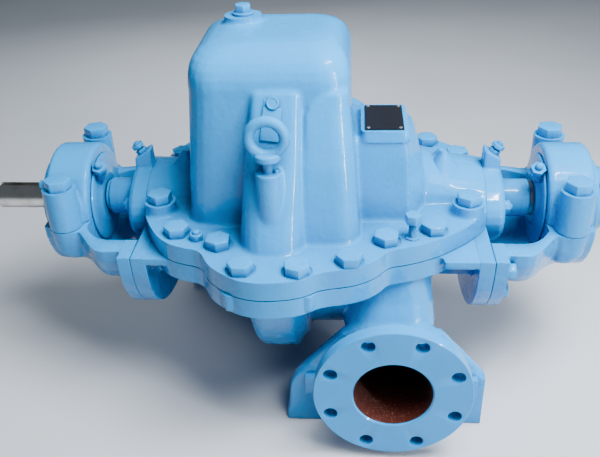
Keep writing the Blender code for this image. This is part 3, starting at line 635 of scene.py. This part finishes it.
def upper_casing():
    solid = cad_copy("upper_casing")
    add_allowance(solid, 2, PARTING_GAP, -ALLOWANCE)
    for level in (FRONT_BOSS_TOP, REAR_BOSS_TOP, PAD_TOP, VENT.z):
        add_allowance(solid, 2, level)
    pad_ends(solid)
    skin = cast(solid, 0.0030, 2, 1)
    cutters = [spot_face(x, y, top - 0.002) for x, y, top in FLANGE_BOLTS]
    cutters += [boss_face(x, y, top) for x, y, top in BOSS_BOLTS]
    cutters.append(box((0.071, -0.135, PAD_TOP), (0.168, 0.006, PAD_TOP + 0.03)))
    cutters.append(bar(VENT, VENT + Vector((0, 0, 0.026)), 0.045))
    cutters.append(bar((-0.32, 0, 0), (0.32, 0, 0), CASING_BORE, sides=64))
    skin = machine(skin, cutters)
    cut_flat(skin, (0, 0, PARTING_GAP), (0, 0, -1))
    trim_ends(skin)
    plate_top = FLANGE_TOP + 0.0004
    plate = section_plate("upper_casing", 2, FLANGE_SECTION, PARTING_GAP, plate_top, 0.0016)
    plate = machine(plate, [spot_face(x, y, top) for x, y, top in FLANGE_BOLTS])
    rim = stood([(-0.006, 0), (-0.006, 0.0203), (-0.0009, 0.0200), (0, 0.0191), (0, 0)], EYE)
    horns = [ridge(0.224, -0.020, 0.050, 0.103, 0.050), ridge(-0.230, -0.007, 0.040, 0.098, 0.044)]
    piece = joined([marked(skin, 50), marked(plate, 20), marked(rim, 30), *horns])
    add_casting("upper_casing_shell", piece, "upper_casing")


upper_casing()

# %% [markdown]
# ## The lower casing
# The lower half is cast in one with its two branches, its feet and the end plates. Its
# round pipe flanges are turned on a lathe, so they are made as clean turned rings, and the
# casting is cut back to let them take the place of its own.

# %% Cast and machine the lower half
def web_panel():
    """The low panel on the front foot's web, below the line where the web starts to taper."""
    edge = [(0.175, -0.2960), (0.172, -0.2400), (0.160, -0.2135)]
    outline = edge + [(-x, z) for x, z in reversed(edge)]
    bm = bmesh.new()
    face = bm.faces.new([bm.verts.new((NOZZLE_X + x, -0.2310, z)) for x, z in outline])
    return thicken(bm, [face], (0, -0.0138, 0))


def round_belly():
    """The belly turned finely, with a rounded corner, to hide the plain solid's facets."""
    profile = [
        (-0.2150, 0), (-0.2150, 0.1395), (-0.1995, 0.1606), (-0.1095, 0.1606), (-0.1035, 0.2350),
        (-0.1015, 0.2500), (-0.0965, 0.2615), (-0.0890, 0.2688), (-0.0800, 0.2716),
        (-0.0270, 0.2716), (-0.0066, 0.2465), (-0.0066, 0.2266), (0.0553, 0.2266),
        (0.0673, 0.2006), (0.1852, 0.2006), (0.2000, 0.1650), (0.2000, 0),
    ]
    return cut_flat(turned(profile, 160), (0, 0, -0.010), (0, 0, 1), chamfer=0)


def lower_casing():
    panels = [web_panel(), placed(web_panel(), HALF_TURN)]
    solid = joined([cad_copy("lower_casing"), *panels, round_belly()])
    neck_end = NOZZLE_FACE - NOZZLE_FLANGE - 0.001
    for side in (-1, 1):
        cut_flat(solid, (0, side * neck_end, 0), (0, side, 0), chamfer=0)
        add_allowance(solid, 1, side * neck_end, side * ALLOWANCE)
    add_allowance(solid, 2, -PARTING_GAP, ALLOWANCE)
    add_allowance(solid, 2, FLOOR, -ALLOWANCE)
    pad_ends(solid)
    skin = cast(solid, 0.0036, 2, 3)
    bores = [bar((-0.32, 0, 0), (0.32, 0, 0), CASING_BORE, sides=64)]
    for side, sizes in ((-1, SUCTION), (1, DISCHARGE)):
        start = (-side * NOZZLE_X, side * 0.114, NOZZLE_Z)
        end = (-side * NOZZLE_X, side * 0.34, NOZZLE_Z)
        bores.append(bar(start, end, sizes["bore"], sides=96))
    skin = machine(skin, bores)
    cut_flat(skin, (0, 0, -PARTING_GAP - PLATE_LIFT), (0, 0, 1))
    cut_flat(skin, (0, 0, FLOOR), (0, 0, -1))
    trim_ends(skin)
    parts = [
        marked(skin, 50),
        section_plate("upper_casing", 2, FLANGE_SECTION, FLANGE_BOTTOM, -PARTING_GAP, 0.0016),
    ]
    for side in (-1, 1):
        level = side * END_PLATE_SECTION
        low, high = sorted((side * END_PLATE_BACK, side * CASING_END))
        parts.append(section_plate("lower_casing", 0, level, low, high, 0.0014, ABOVE_FEET))
    add_casting("lower_casing_shell", joined(parts), "lower_casing")


lower_casing()

# %% [markdown]
# Each pipe flange is a ring turned from a profile: a flat face with a broken bore edge, a
# sharp rim and a fillet into the neck. Its eight bolt holes are drilled by a Boolean and
# their edges broken with a small bevel, which catches the light round each hole.

# %% Turn the pipe flanges
def flange_frame(side):
    """From the turning axis X to the branch's own axis; side -1 is the suction branch."""
    outward = Matrix.Rotation(-math.pi / 2, 4, "Z")
    branch = Matrix.Translation((NOZZLE_X, 0, NOZZLE_Z)) @ outward
    return branch if side < 0 else HALF_TURN @ branch


def pipe_flange(name, side, sizes):
    back = NOZZLE_FACE - NOZZLE_FLANGE
    reach = 0.012
    arc = []
    for step in range(7):
        angle = math.pi / 2 * step / 6
        height = sizes["neck"] + reach * (1 - math.sin(angle))
        arc.append((back - reach * (1 - math.cos(angle)), height))
    profile = [
        (NOZZLE_FACE - 0.0025, sizes["bore"]),
        (NOZZLE_FACE, sizes["bore"] + 0.0022),
        (NOZZLE_FACE, sizes["rim"] - 0.0010),
        (NOZZLE_FACE - 0.0010, sizes["rim"]),
        (back + 0.0020, sizes["rim"]),
        (back, sizes["rim"] - 0.0020),
        *arc,
        (back - reach, sizes["bore"]),
    ]
    ring = turned(profile, 128, closed=True)
    holes = []
    for index in range(8):
        angle = 2 * math.pi * (index + 0.5) / 8
        y, z = sizes["circle"] * math.cos(angle), sizes["circle"] * math.sin(angle)
        holes.append(bar((back - 0.02, y, z), (NOZZLE_FACE + 0.02, y, z), sizes["hole"], sides=40))
    ring = machine(ring, holes)
    near = sizes["hole"] * 1.02
    rims = [
        e for e in ring.edges
        if all(abs(v.co.x - NOZZLE_FACE) < 0.0001 for v in e.verts)
        and all(abs(math.hypot(v.co.y, v.co.z) - sizes["circle"]) < near for v in e.verts)
        and e.is_manifold and e.calc_face_angle(0) > 1.0
    ]
    bevel(ring, rims, 0.0009, clamp=False)
    add_piece(name, placed(ring, flange_frame(side)), SMOOTH_BLUE)


pipe_flange("suction_flange_ring", -1, SUCTION)
pipe_flange("discharge_flange_ring", 1, DISCHARGE)

# %% [markdown]
# Inside each opening the iron wears red-brown primer. A thin lining tube carries it, closed
# at the depth where the passage turns into the volute. Its colour carries painted shade,
# falling to near black towards the closed end.

# %% Line the bores
def bore_lining(name, side, sizes):
    radius = sizes["bore"] - 0.0004
    start, end = NOZZLE_FACE - 0.0028, NOZZLE_FACE - 0.195
    profile = [(start, radius + 0.0003), (start, radius), (end, radius - 0.001)]
    for step in range(1, 7):
        angle = math.pi / 2 * step / 6
        profile.append((end - 0.018 * math.sin(angle), (radius - 0.001) * math.cos(angle)))
    profile[-1] = (profile[-1][0], 0)
    shell = placed(turned(profile), flange_frame(side))
    for face in shell.faces:
        face.normal_flip()
    add_piece(name, shell, PRIMER)


bore_lining("suction_bore_lining", -1, SUCTION)
bore_lining("discharge_bore_lining", 1, DISCHARGE)

# %% [markdown]
# The sheet gasket shows only as a dark line. It is a copy of the plain solid, drawn in by a
# millimetre or two so that the rounded flange edges cover it.

# %% Gasket
def gasket(node):
    sheet = cad_copy(node)
    placed(sheet, Matrix.Diagonal((0.993, 0.993, 1.0, 1.0)))
    add_piece(node + "_sheet", sheet, GASKET_SHEET, replaces=(node,))


gasket("front_gasket")
gasket("rear_gasket")

# %% [markdown]
# ## Bearings
# Each end carries an open bracket with the lower half of the bearing housing, and a cap
# bolted down on it. Both are cast like the casing, in a finer skin because they are smaller.

# %% Brackets and caps
def cap_seats(side, height):
    """The places of the two cap bolts at one end, the front one first."""
    return [(side * HOUSING_X, y, height) for y in (-CAP_BOSS_Y, CAP_BOSS_Y)]


def housing_bore(side):
    """The cutter for one bearing housing."""
    return bar((side * 0.38, 0, 0), (side * 0.50, 0, 0), BEARING_BORE, sides=64)


def bearing_bracket(side, name):
    node = f"{name}_bearing_bracket"
    solid = cad_copy(node)
    add_allowance(solid, 0, side * SOLID_END_FACE, -side * ALLOWANCE)
    add_allowance(solid, 2, -SOLID_HOUSING_FACE, ALLOWANCE)
    ends = zip(cap_seats(side, -0.045), cap_seats(side, ALLOWANCE))
    solid = joined([solid, *[bar(low, high, 0.0240, 0.0292) for low, high in ends]])
    skin = machine(cast(solid, 0.0028, 2, 2), [housing_bore(side)])
    cut_flat(skin, (0, 0, -HOUSING_GAP), (0, 0, 1))
    cut_flat(skin, (side * BRACKET_FACE, 0, 0), (-side, 0, 0))
    low, high = sorted((side * BRACKET_FACE, side * (BRACKET_FLANGE_END + PLATE_LIFT)))
    plate = section_plate(node, 0, side * BRACKET_SECTION, low, high, 0.0014)
    add_casting(f"{name}_bracket_shell", joined([marked(skin, 50), plate]), node)


def bearing_cap(side, name):
    node = f"{name}_bearing_cap"
    solid = cad_copy(node)
    add_allowance(solid, 2, SOLID_HOUSING_FACE, -ALLOWANCE)
    ends = zip(cap_seats(side, -ALLOWANCE), cap_seats(side, CAP_BOSS_TOP))
    solid = joined([solid, *[bar(low, high, 0.0283) for low, high in ends]])
    add_allowance(solid, 2, CAP_BOSS_TOP)
    cutters = [boss_face(x, y, top) for x, y, top in cap_seats(side, CAP_BOSS_TOP)]
    skin = machine(cast(solid, 0.0026, 2, 2), [*cutters, housing_bore(side)])
    cut_flat(skin, (0, 0, HOUSING_GAP), (0, 0, -1))
    add_casting(f"{name}_cap_shell", marked(skin, 50), node)


for side, name in ENDS:
    bearing_bracket(side, name)
    bearing_cap(side, name)

# %% [markdown]
# ## Bolts, nuts and plugs
# A bolt head is a hexagon with its top corners turned off and its edges softened by
# paint. One head is modelled with create_cone, inset, and a bevel, and then copied to
# every seat. Heads on one casting are joined into one piece.

# %% One hexagon head
def hex_head(across, height, washer=0.0):
    """A head standing on z = 0, with a thin washer face under it when a washer radius is given."""
    corner = across / math.sqrt(3)
    bm = bmesh.new()
    bmesh.ops.create_cone(
        bm, cap_ends=True, segments=6, radius1=corner, radius2=corner, depth=height
    )
    bm.transform(Matrix.Translation((0, 0, height / 2)))
    top = [f for f in bm.faces if f.normal.z > 0.9]
    bmesh.ops.inset_region(bm, faces=top, thickness=across * 0.045, depth=0)
    bmesh.ops.translate(bm, verts=[v for f in top for v in f.verts], vec=(0, 0, height * 0.05))
    soften(bm, across * 0.016, angle=15)
    parts = [bm]
    if washer:
        parts.append(soften(bar((0, 0, -0.0005), (0, 0, 0.0022), washer, sides=48), 0.0006))
    return joined(parts)


def standing(bm, place, up=(0, 0, 1), turn=0.0):
    """A copy with its base at a place and its axis along a direction."""
    aim = Vector(up).to_track_quat("Z", "Y").to_matrix().to_4x4()
    return placed(bm.copy(), Matrix.Translation(place) @ aim @ Matrix.Rotation(turn, 4, "Z"))


BIG_HEAD = hex_head(0.0365, 0.0155)
CAP_HEAD = hex_head(0.0405, 0.0175)
print("head faces", len(BIG_HEAD.faces))

# %% Casing and cap bolts
TURNS = (-19, 0, 31, 12, -22, -8, -18, 14, 40, -11, 25, 5, -30, 18, -5, 0, 24, 9)
CAP_TURNS = {"left": (-13, -9), "right": (-24, -22)}

heads = []
for (x, y, top), turn in zip(FLANGE_BOLTS + BOSS_BOLTS, TURNS):
    heads.append(standing(BIG_HEAD, (x, y, top - SPOT_DEPTH), turn=math.radians(turn)))
add_fastener("casing_bolts", joined(heads))

for side, name in ENDS:
    seats = cap_seats(side, CAP_BOSS_TOP - SPOT_DEPTH)
    for seat, place, turn in zip(seats, ("front", "rear"), CAP_TURNS[name]):
        node = f"{name}_{place}_cap_bolt"
        add_fastener(node + "_head", standing(CAP_HEAD, seat, turn=math.radians(turn)), node)

# %% [markdown]
# The bearing brackets are screwed to the casing's end plates, with the heads on the
# outside of the flange. Smaller screws hold the outer bearing covers, and nuts on studs
# hold the seal glands.

# %% Bracket bolts, gland nuts and cover screws
SMALL_HEAD = hex_head(0.024, 0.012)
STUD_END = soften(bar((0, 0, 0.010), (0, 0, 0.0165), 0.0062, sides=24), 0.0012)
GLAND_NUT = joined([hex_head(0.023, 0.013), STUD_END])
COVER_SCREW = hex_head(0.014, 0.008)
END_PLATE_BOLTS = {
    -1: [(-0.055, -0.146), (0.1345, -0.046), (0.080, -0.122)],
    1: [(-0.200, -0.024), (-0.166, -0.086), (-0.070, -0.144), (0.1345, -0.046), (0.080, -0.122)],
}

bracket_bolts, gland_nuts, cover_screws = [], [], []
for side in (-1, 1):
    out = (side, 0, 0)
    for y, z in END_PLATE_BOLTS[side]:
        seat = (side * (BRACKET_FLANGE_END - 0.0004), y, z)
        bracket_bolts.append(standing(SMALL_HEAD, seat, out))
    for front in (-1, 1):
        gland_nuts.append(standing(GLAND_NUT, (side * 0.3275, front * 0.053, 0.010), out, 0.3))
    for index in range(4):
        angle = math.radians(45 + 90 * index)
        y, z = COVER_SCREW_CIRCLE * math.cos(angle), COVER_SCREW_CIRCLE * math.sin(angle)
        screw = standing(COVER_SCREW, (side * COVER_SCREW_FACE, y, z), out, 0.2 * index)
        cover_screws.append(screw)
add_fastener("bracket_bolts", joined(bracket_bolts))
add_fastener("gland_nuts", joined(gland_nuts))
add_fastener("cover_screws", joined(cover_screws))

# %% [markdown]
# Bearing covers are turned parts. The inner one is a thin disc with a rounded rim
# that rises to a low hub. The outer one is a plain disc, open where the shaft leaves the pump
# and closed by a low boss at the other end.

# %% Bearing covers
INNER_COVER = [
    (0.3978, 0.0300), (0.3978, 0.0802), (0.3968, 0.0812), (0.3952, 0.0812), (0.3940, 0.0802),
    (0.3932, 0.0775), (0.3928, 0.0700), (0.3922, 0.0600), (0.3914, 0.0530), (0.3900, 0.0478),
    (0.3889, 0.0455), (0.3882, 0.0440), (0.3880, 0.0425), (0.3880, 0.0312), (0.3888, 0.0300),
]
OPEN_COVER = [
    (0.4753, 0.0300), (0.4753, 0.0735), (0.4760, 0.0742), (0.4865, 0.0742), (0.4880, 0.0727),
    (0.4880, 0.0460), (0.4868, 0.0445), (0.4868, 0.0360), (0.4880, 0.0345), (0.4880, 0.0310),
    (0.4872, 0.0300),
]
CLOSED_COVER = [
    (0.4753, 0.0), (0.4753, 0.0735), (0.4760, 0.0742), (0.4865, 0.0742), (0.4880, 0.0727),
    (0.4880, 0.0650), (0.4885, 0.0625), (0.4900, 0.0612), (0.5025, 0.0575), (0.5040, 0.0568),
    (0.5050, 0.0550), (0.5050, 0.0),
]


def cover(node, profile, side, closed=True):
    shape = turned(mirrored(profile, side), closed=closed)
    add_piece(node + "_disc", shape, SMOOTH_BLUE, replaces=(node,))


cover("left_inner_cover", INNER_COVER, -1)
cover("right_inner_cover", INNER_COVER, 1)
cover("left_outer_cover", OPEN_COVER, -1)
cover("right_outer_cover", CLOSED_COVER, 1, closed=False)

# %% [markdown]
# The seal gland is an oval casting with a wedge-shaped lug on top, and a hexagonal flush
# fitting stands on the lug's slope. The small fittings are built up from heads, short bars
# and a ball, with their edges softened as paint softens them.

# %% Seal glands and fittings
def seal_gland(side, name):
    node = f"{name}_seal_gland"
    solid = cad_copy(node)
    add_allowance(solid, 0, side * SOLID_END_FACE, -side * ALLOWANCE)
    bore = bar((side * 0.28, 0, 0), (side * 0.34, 0, 0), GLAND_BORE, sides=64)
    skin = machine(cast(solid, 0.0018, 2, 2), [bore])
    cut_flat(skin, (side * GLAND_FACE, 0, 0), (-side, 0, 0))
    add_casting(f"{name}_gland_casting", marked(skin, 50), node)


def lug_slope(side):
    """The frame of the gland lug's slope: X down the slope and Z out of it."""
    slope = Matrix.Translation((0.300, 0, 0.099)) @ Matrix.Rotation(math.radians(31), 4, "Y")
    return slope if side > 0 else HALF_TURN @ slope


def flush_fitting(side, name):
    down, turn = 0.016, Matrix.Rotation(0.4, 4, "Z")
    parts = [
        placed(hex_head(0.018, 0.0062), Matrix.Translation((down, 0, 0.0003))),
        soften(bar((down, 0, 0.005), (down, 0, 0.011), 0.0062, sides=24), 0.0004),
        placed(hex_head(0.021, 0.0070), Matrix.Translation((down, 0, 0.0100)) @ turn),
        soften(bar((down, 0, 0.016), (down, 0, 0.0205), 0.0055, sides=24), 0.0008),
    ]
    node = f"{name}_gland_fitting"
    add_fastener(node + "_plug", placed(joined(parts), lug_slope(side)), node)


def grease_nipple(side, name):
    out = Vector((0, -0.468, 0.884)).normalized()
    middle = Vector((side * 0.384, 0, 0))
    seat = middle + out * 0.0803
    root = middle + out * 0.060 + Vector((side * 0.0065, 0, 0))
    boss = soften(bar(root, seat, 0.0105, sides=32), 0.0012)
    plug = standing(hex_head(0.0235, 0.0115), seat, out, 0.2)
    neck = soften(bar(seat + out * 0.010, seat + out * 0.0150, 0.0062, sides=24), 0.0005)
    ball = bmesh.new()
    bmesh.ops.create_uvsphere(ball, u_segments=24, v_segments=16, radius=0.0066)
    placed(ball, Matrix.Translation(seat + out * 0.0165))
    node = f"{name}_grease_fitting"
    add_fastener(node + "_plug", joined([boss, plug, neck, ball]), node)


for side, name in ENDS:
    seal_gland(side, name)
    flush_fitting(side, name)
    grease_nipple(side, name)

# %% [markdown]
# ## Turned steel
# The shaft is one long turned bar, chamfered at its end and cut for a key with an end mill,
# so the slot ends in a half round. The painted sleeves turn with it. Both ride on the rotor.

# %% Shaft and drive collars
SHAFT_RADIUS, SHAFT_START, SHAFT_END = 0.024, -0.600, 0.487
KEY_HALF, KEYWAY_END = 0.006, -0.531


def shaft():
    rod = turned([
        (SHAFT_START, 0), (SHAFT_START, SHAFT_RADIUS - 0.0025),
        (SHAFT_START + 0.0025, SHAFT_RADIUS), (0.3815, SHAFT_RADIUS),
        (SHAFT_END - 0.002, SHAFT_RADIUS), (SHAFT_END, SHAFT_RADIUS - 0.002), (SHAFT_END, 0),
    ])
    bottom = SHAFT_RADIUS - KEY_HALF
    slot = box((SHAFT_START - 0.01, -KEY_HALF, bottom), (KEYWAY_END, KEY_HALF, 0.040))
    round_end = bar((KEYWAY_END, 0, bottom), (KEYWAY_END, 0, 0.040), KEY_HALF, sides=32)
    rod = machine(rod, [combined(slot, round_end, "UNION")])
    add_piece("shaft_bar", rod, STEEL, "rotor", replaces=("shaft",))


SLEEVE = [
    (0.3340, COLLAR_BORE), (0.3340, 0.0328), (0.3352, 0.0340), (0.3660, 0.0340),
    (0.3664, 0.0337), (0.3668, 0.0340), (0.3790, 0.0340), (0.3800, 0.0330), (0.3800, COLLAR_BORE),
]
NECK = [(0.318, COLLAR_BORE), (0.318, 0.0285), (0.335, 0.0285), (0.335, COLLAR_BORE)]
SHOULDER = [
    (0.3795, COLLAR_BORE), (0.3795, 0.0300), (0.3865, 0.0300), (0.3872, 0.0290),
    (0.3872, COLLAR_BORE),
]


def drive_collar(side, name):
    """Two turned sleeves in one; only the left one has a painted shoulder."""
    profiles = [SLEEVE, NECK] if side > 0 else [SLEEVE, NECK, SHOULDER]
    piece = joined([turned(mirrored(profile, side), closed=True) for profile in profiles])
    node = f"{name}_drive_collar"
    add_piece(node + "_sleeve", piece, SMOOTH_BLUE, "rotor", replaces=(node,))


def slinger():
    """The bare grooved ring beside the right-hand collar."""
    outer, root = 0.0325, 0.0312
    profile = [(0.3795, COLLAR_BORE), (0.3795, outer)]
    for groove in range(3):
        start = 0.3804 + groove * 0.0022
        profile += [(start, outer), (start + 0.0003, root)]
        profile += [(start + 0.0010, root), (start + 0.0013, outer)]
    profile += [(0.3868, outer), (0.3872, outer - 0.0005), (0.3872, COLLAR_BORE)]
    add_piece("bare_grooved_ring", turned(profile, closed=True), STEEL, "rotor")


shaft()
slinger()
for side, name in ENDS:
    drive_collar(side, name)

# %% [markdown]
# ## On top of the casing
# The eye bolt is a thick ring on a collar and a short neck. The ring is a circle spun about
# its own axis, which gives an evenly round bar all the way round.

# %% Lifting eye
def lifting_eye():
    bar_radius, ring_radius, ring_height = 0.0083, 0.0265, 0.0545
    quarter_turn = Matrix.Rotation(math.pi / 2, 4, "X")
    ring = bmesh.new()
    bmesh.ops.create_circle(ring, segments=28, radius=bar_radius)
    ring.transform(Matrix.Translation((ring_radius, 0, 0)) @ quarter_turn)
    spun(ring, list(ring.verts) + list(ring.edges), (0, 0, 1), 72)
    ring.transform(Matrix.Translation(EYE + Vector((0, 0, ring_height))) @ quarter_turn)
    profile = [
        (-0.0020, 0), (-0.0020, 0.0078), (0.0185, 0.0078), (0.0187, 0.0150), (0.0198, 0.0180),
        (0.0220, 0.0199), (0.0265, 0.0205), (0.0300, 0.0197), (0.0320, 0.0170),
        (0.0325, 0.0120), (0.0325, 0.0),
    ]
    foot = EYE + Vector((0.0125, -0.002, 0))
    pin = bar(foot - Vector((0, 0, 0.001)), foot + Vector((0, 0, 0.0048)), 0.0034)
    piece = joined([ring, stood(profile, EYE, 56), soften(pin, 0.0008)])
    add_fastener("eye_bolt", piece, "lifting_eye")


lifting_eye()

# %% [markdown]
# Between the eye and the hump a small cast plate lies on the slope, with a round stud at its
# top. On the hump stands the vent plug, and on the flange the jack screw, which pushes the
# halves apart, with its thread showing, and the round nuts of the two dowels.

# %% Lug plate, vent plug, jack screw and dowel nuts
def lug_plate():
    slope = Vector((0, 0.0435, 0.100)).normalized()
    outward = Vector((0, -slope.z, slope.y))
    frame_of_slope = Matrix((Vector((1, 0, 0)), slope, outward)).transposed().to_4x4()
    frame_of_slope.translation = Vector((-0.062, -0.200, 0.158)) + outward * 0.0003
    frame_of_slope @= Matrix.Rotation(math.radians(-6), 4, "Z")
    plate = soften(box((-0.014, 0.041, -0.0015), (0.014, 0.092, 0.0031)), 0.0009, 40, 3)
    step = soften(box((-0.014, 0.088, -0.0015), (-0.006, 0.103, 0.0012)), 0.0005, 40, 3)
    profile = [
        (0.0020, 0), (0.0020, 0.0100), (0.0052, 0.0100), (0.0062, 0.0090), (0.0062, 0.0072),
        (0.0055, 0.0062), (0.0055, 0),
    ]
    piece = placed(joined([plate, step, stood(profile, (0, 0.098, 0))]), frame_of_slope)
    add_piece("slope_plate", piece, CAST_BLUE, replaces=("lug_plate",))


def vent_plug():
    profile = [(0.0, 0), (0.0, 0.0165), (0.0040, 0.0172), (0.0052, 0.0160), (0.0052, 0)]
    head = standing(hex_head(0.024, 0.012), VENT + Vector((0, 0, 0.0048)), turn=0.2)
    add_fastener("vent_plug_head", joined([stood(profile, VENT), head]), "vent_plug")


def jack_screw():
    place = Vector((0.163, -0.193, FLANGE_TOP))
    pitch = 0.0018
    profile = [(-0.001, 0), (-0.001, 0.0052)]
    for turn in range(16):
        low = turn * pitch
        profile += [(low + 0.0003, 0.0053), (low + 0.0010, 0.0062), (low + 0.0014, 0.0062)]
    profile += [(0.0300, 0.0060), (0.0310, 0)]
    nut = standing(hex_head(0.0205, 0.0030), place)
    head = standing(hex_head(0.023, 0.0140), place + Vector((0, 0, 0.0292)), turn=0.25)
    add_fastener("jack_screw_bolt", joined([stood(profile, place, 40), head, nut]), "jack_screw")


def dowel_nut(node, x, y):
    profile = [
        (0.0, 0), (0.0, 0.0098), (0.0020, 0.0104), (0.0100, 0.0104), (0.0118, 0.0094),
        (0.0118, 0.0074), (0.0112, 0.0068), (0.0112, 0.0060), (0.0148, 0.0058),
        (0.0162, 0.0048), (0.0170, 0.0025), (0.0172, 0),
    ]
    place = (x, y, FLANGE_TOP)
    nut = standing(hex_head(0.0195, 0.0085), place, turn=0.2)
    add_fastener(node + "_cap", joined([stood(profile, place, 40), nut]), node)


lug_plate()
vent_plug()
jack_screw()
dowel_nut("front_dowel_nut", -0.182, -0.203)
dowel_nut("rear_dowel_nut", 0.182, 0.203)

# %% Drain plugs with square heads
for side, name in ENDS:
    low = Vector((NOZZLE_X + side * 0.127 - 0.0185, -0.258, -0.227 - 0.0185))
    head = soften(box(low, low + Vector((0.037, 0.013, 0.037))), 0.0016, segments=3)
    add_fastener(f"{name}_drain_plug_head", head, f"{name}_drain_plug")

# %% [markdown]
# The rating plate is a thin dark sheet held by four drive rivets. It is left bare.

# %% Rating plate and rivets
def rating_plate():
    top = PAD_TOP + 0.0021
    sheet = soften(box((0.087, -0.113, PAD_TOP + 0.0002), (0.149, -0.012, top)), 0.0004)
    panel = box((0.0895, -0.1105, top - 0.0004), (0.1465, -0.0145, top + 0.0003))
    both = joined([sheet, panel])
    add_piece("plate_sheet", both, PLATE_DARK, replaces=("rating_plate",))
    dome = [(0, 0), (0, 0.0030), (0.0007, 0.0029), (0.0014, 0.0021), (0.0017, 0.0010), (0.0018, 0)]
    places = [(x, y, top) for x in (0.0925, 0.1435) for y in (-0.1075, -0.0175)]
    rivets = joined([stood(dome, place, 24) for place in places])
    add_piece("plate_rivets", rivets, RIVET_METAL)


rating_plate()

# %% [markdown]
# The camera stands where the photographer stood: a little above the pump, in front of its
# suction flange. A plain pale floor and soft lights finish the set.

# %% Camera, floor and lights
FOCAL_PIXELS, PICTURE_PIXELS, SENSOR_MM = 741, 600, 36


def add_camera():
    data = bpy.data.cameras.new("camera")
    data.sensor_width = SENSOR_MM
    data.lens = FOCAL_PIXELS / PICTURE_PIXELS * SENSOR_MM
    camera = new_object("camera", data)
    right = Vector((0.9973, 0.0674, -0.0310)).normalized()
    ahead = Vector((-0.0737, 0.8508, -0.5203)).normalized()
    up = right.cross(ahead).normalized()
    camera.matrix_world = Matrix((right, up, -ahead)).transposed().to_4x4()
    camera.location = Vector((0.072, -1.199, 0.663)) + CENTRE
    bpy.context.scene.camera = camera
    return camera


def add_floor():
    bm = bmesh.new()
    bmesh.ops.create_grid(bm, x_segments=1, y_segments=1, size=6)
    mesh = mesh_of(bm, "floor")
    made, tree, shader, place = new_finish("pale_floor", 0.7)
    dark, light = (0.37, 0.41, 0.46), (0.41, 0.45, 0.50)
    tone = ramp(tree, noise(tree, place, 2, 2), [(0.3, dark), (0.7, light)])
    tree.links.new(tone, shader.inputs["Base Color"])
    mesh.materials.append(made)
    floor = new_object("floor", mesh)
    floor.location.z = -0.001


def add_light(name, place, aim, size, power, reflected=True):
    """A rectangular lamp; reflected says whether its shape shows in the gloss."""
    data = bpy.data.lights.new(name, "AREA")
    data.shape = "RECTANGLE"
    data.size, data.size_y = size
    data.energy = power
    light = new_object(name, data)
    light.visible_glossy = reflected
    light.location = place
    light.rotation_euler = (Vector(aim) - Vector(place)).to_track_quat("-Z", "Y").to_euler()


camera = add_camera()
add_floor()
add_light("softbox", (0.70, -0.55, 1.95), (0.05, 0.0, 0.3), (1.2, 1.0), 135, reflected=False)
add_light("strip", (1.75, -1.25, 0.95), (0, 0, 0.35), (0.05, 1.3), 38)
add_light("glint", (0.75, -0.50, 1.90), (0.05, 0.0, 0.4), (0.50, 0.05), 16)
add_light("front", (0.9, -2.3, 1.5), (0, 0, 0.35), (0.9, 0.7), 18, reflected=False)
add_light("back", (-0.4, 1.9, 1.3), (0, 0, 0.35), (1.4, 0.8), 26, reflected=False)
world = bpy.data.worlds.new("studio")
world.use_nodes = True
sky = world.node_tree.nodes["Background"]
sky.inputs["Color"].default_value = (0.72, 0.86, 1.0, 1)
sky.inputs["Strength"].default_value = 0.12
bpy.context.scene.world = world
print("camera at", tuple(camera.location))
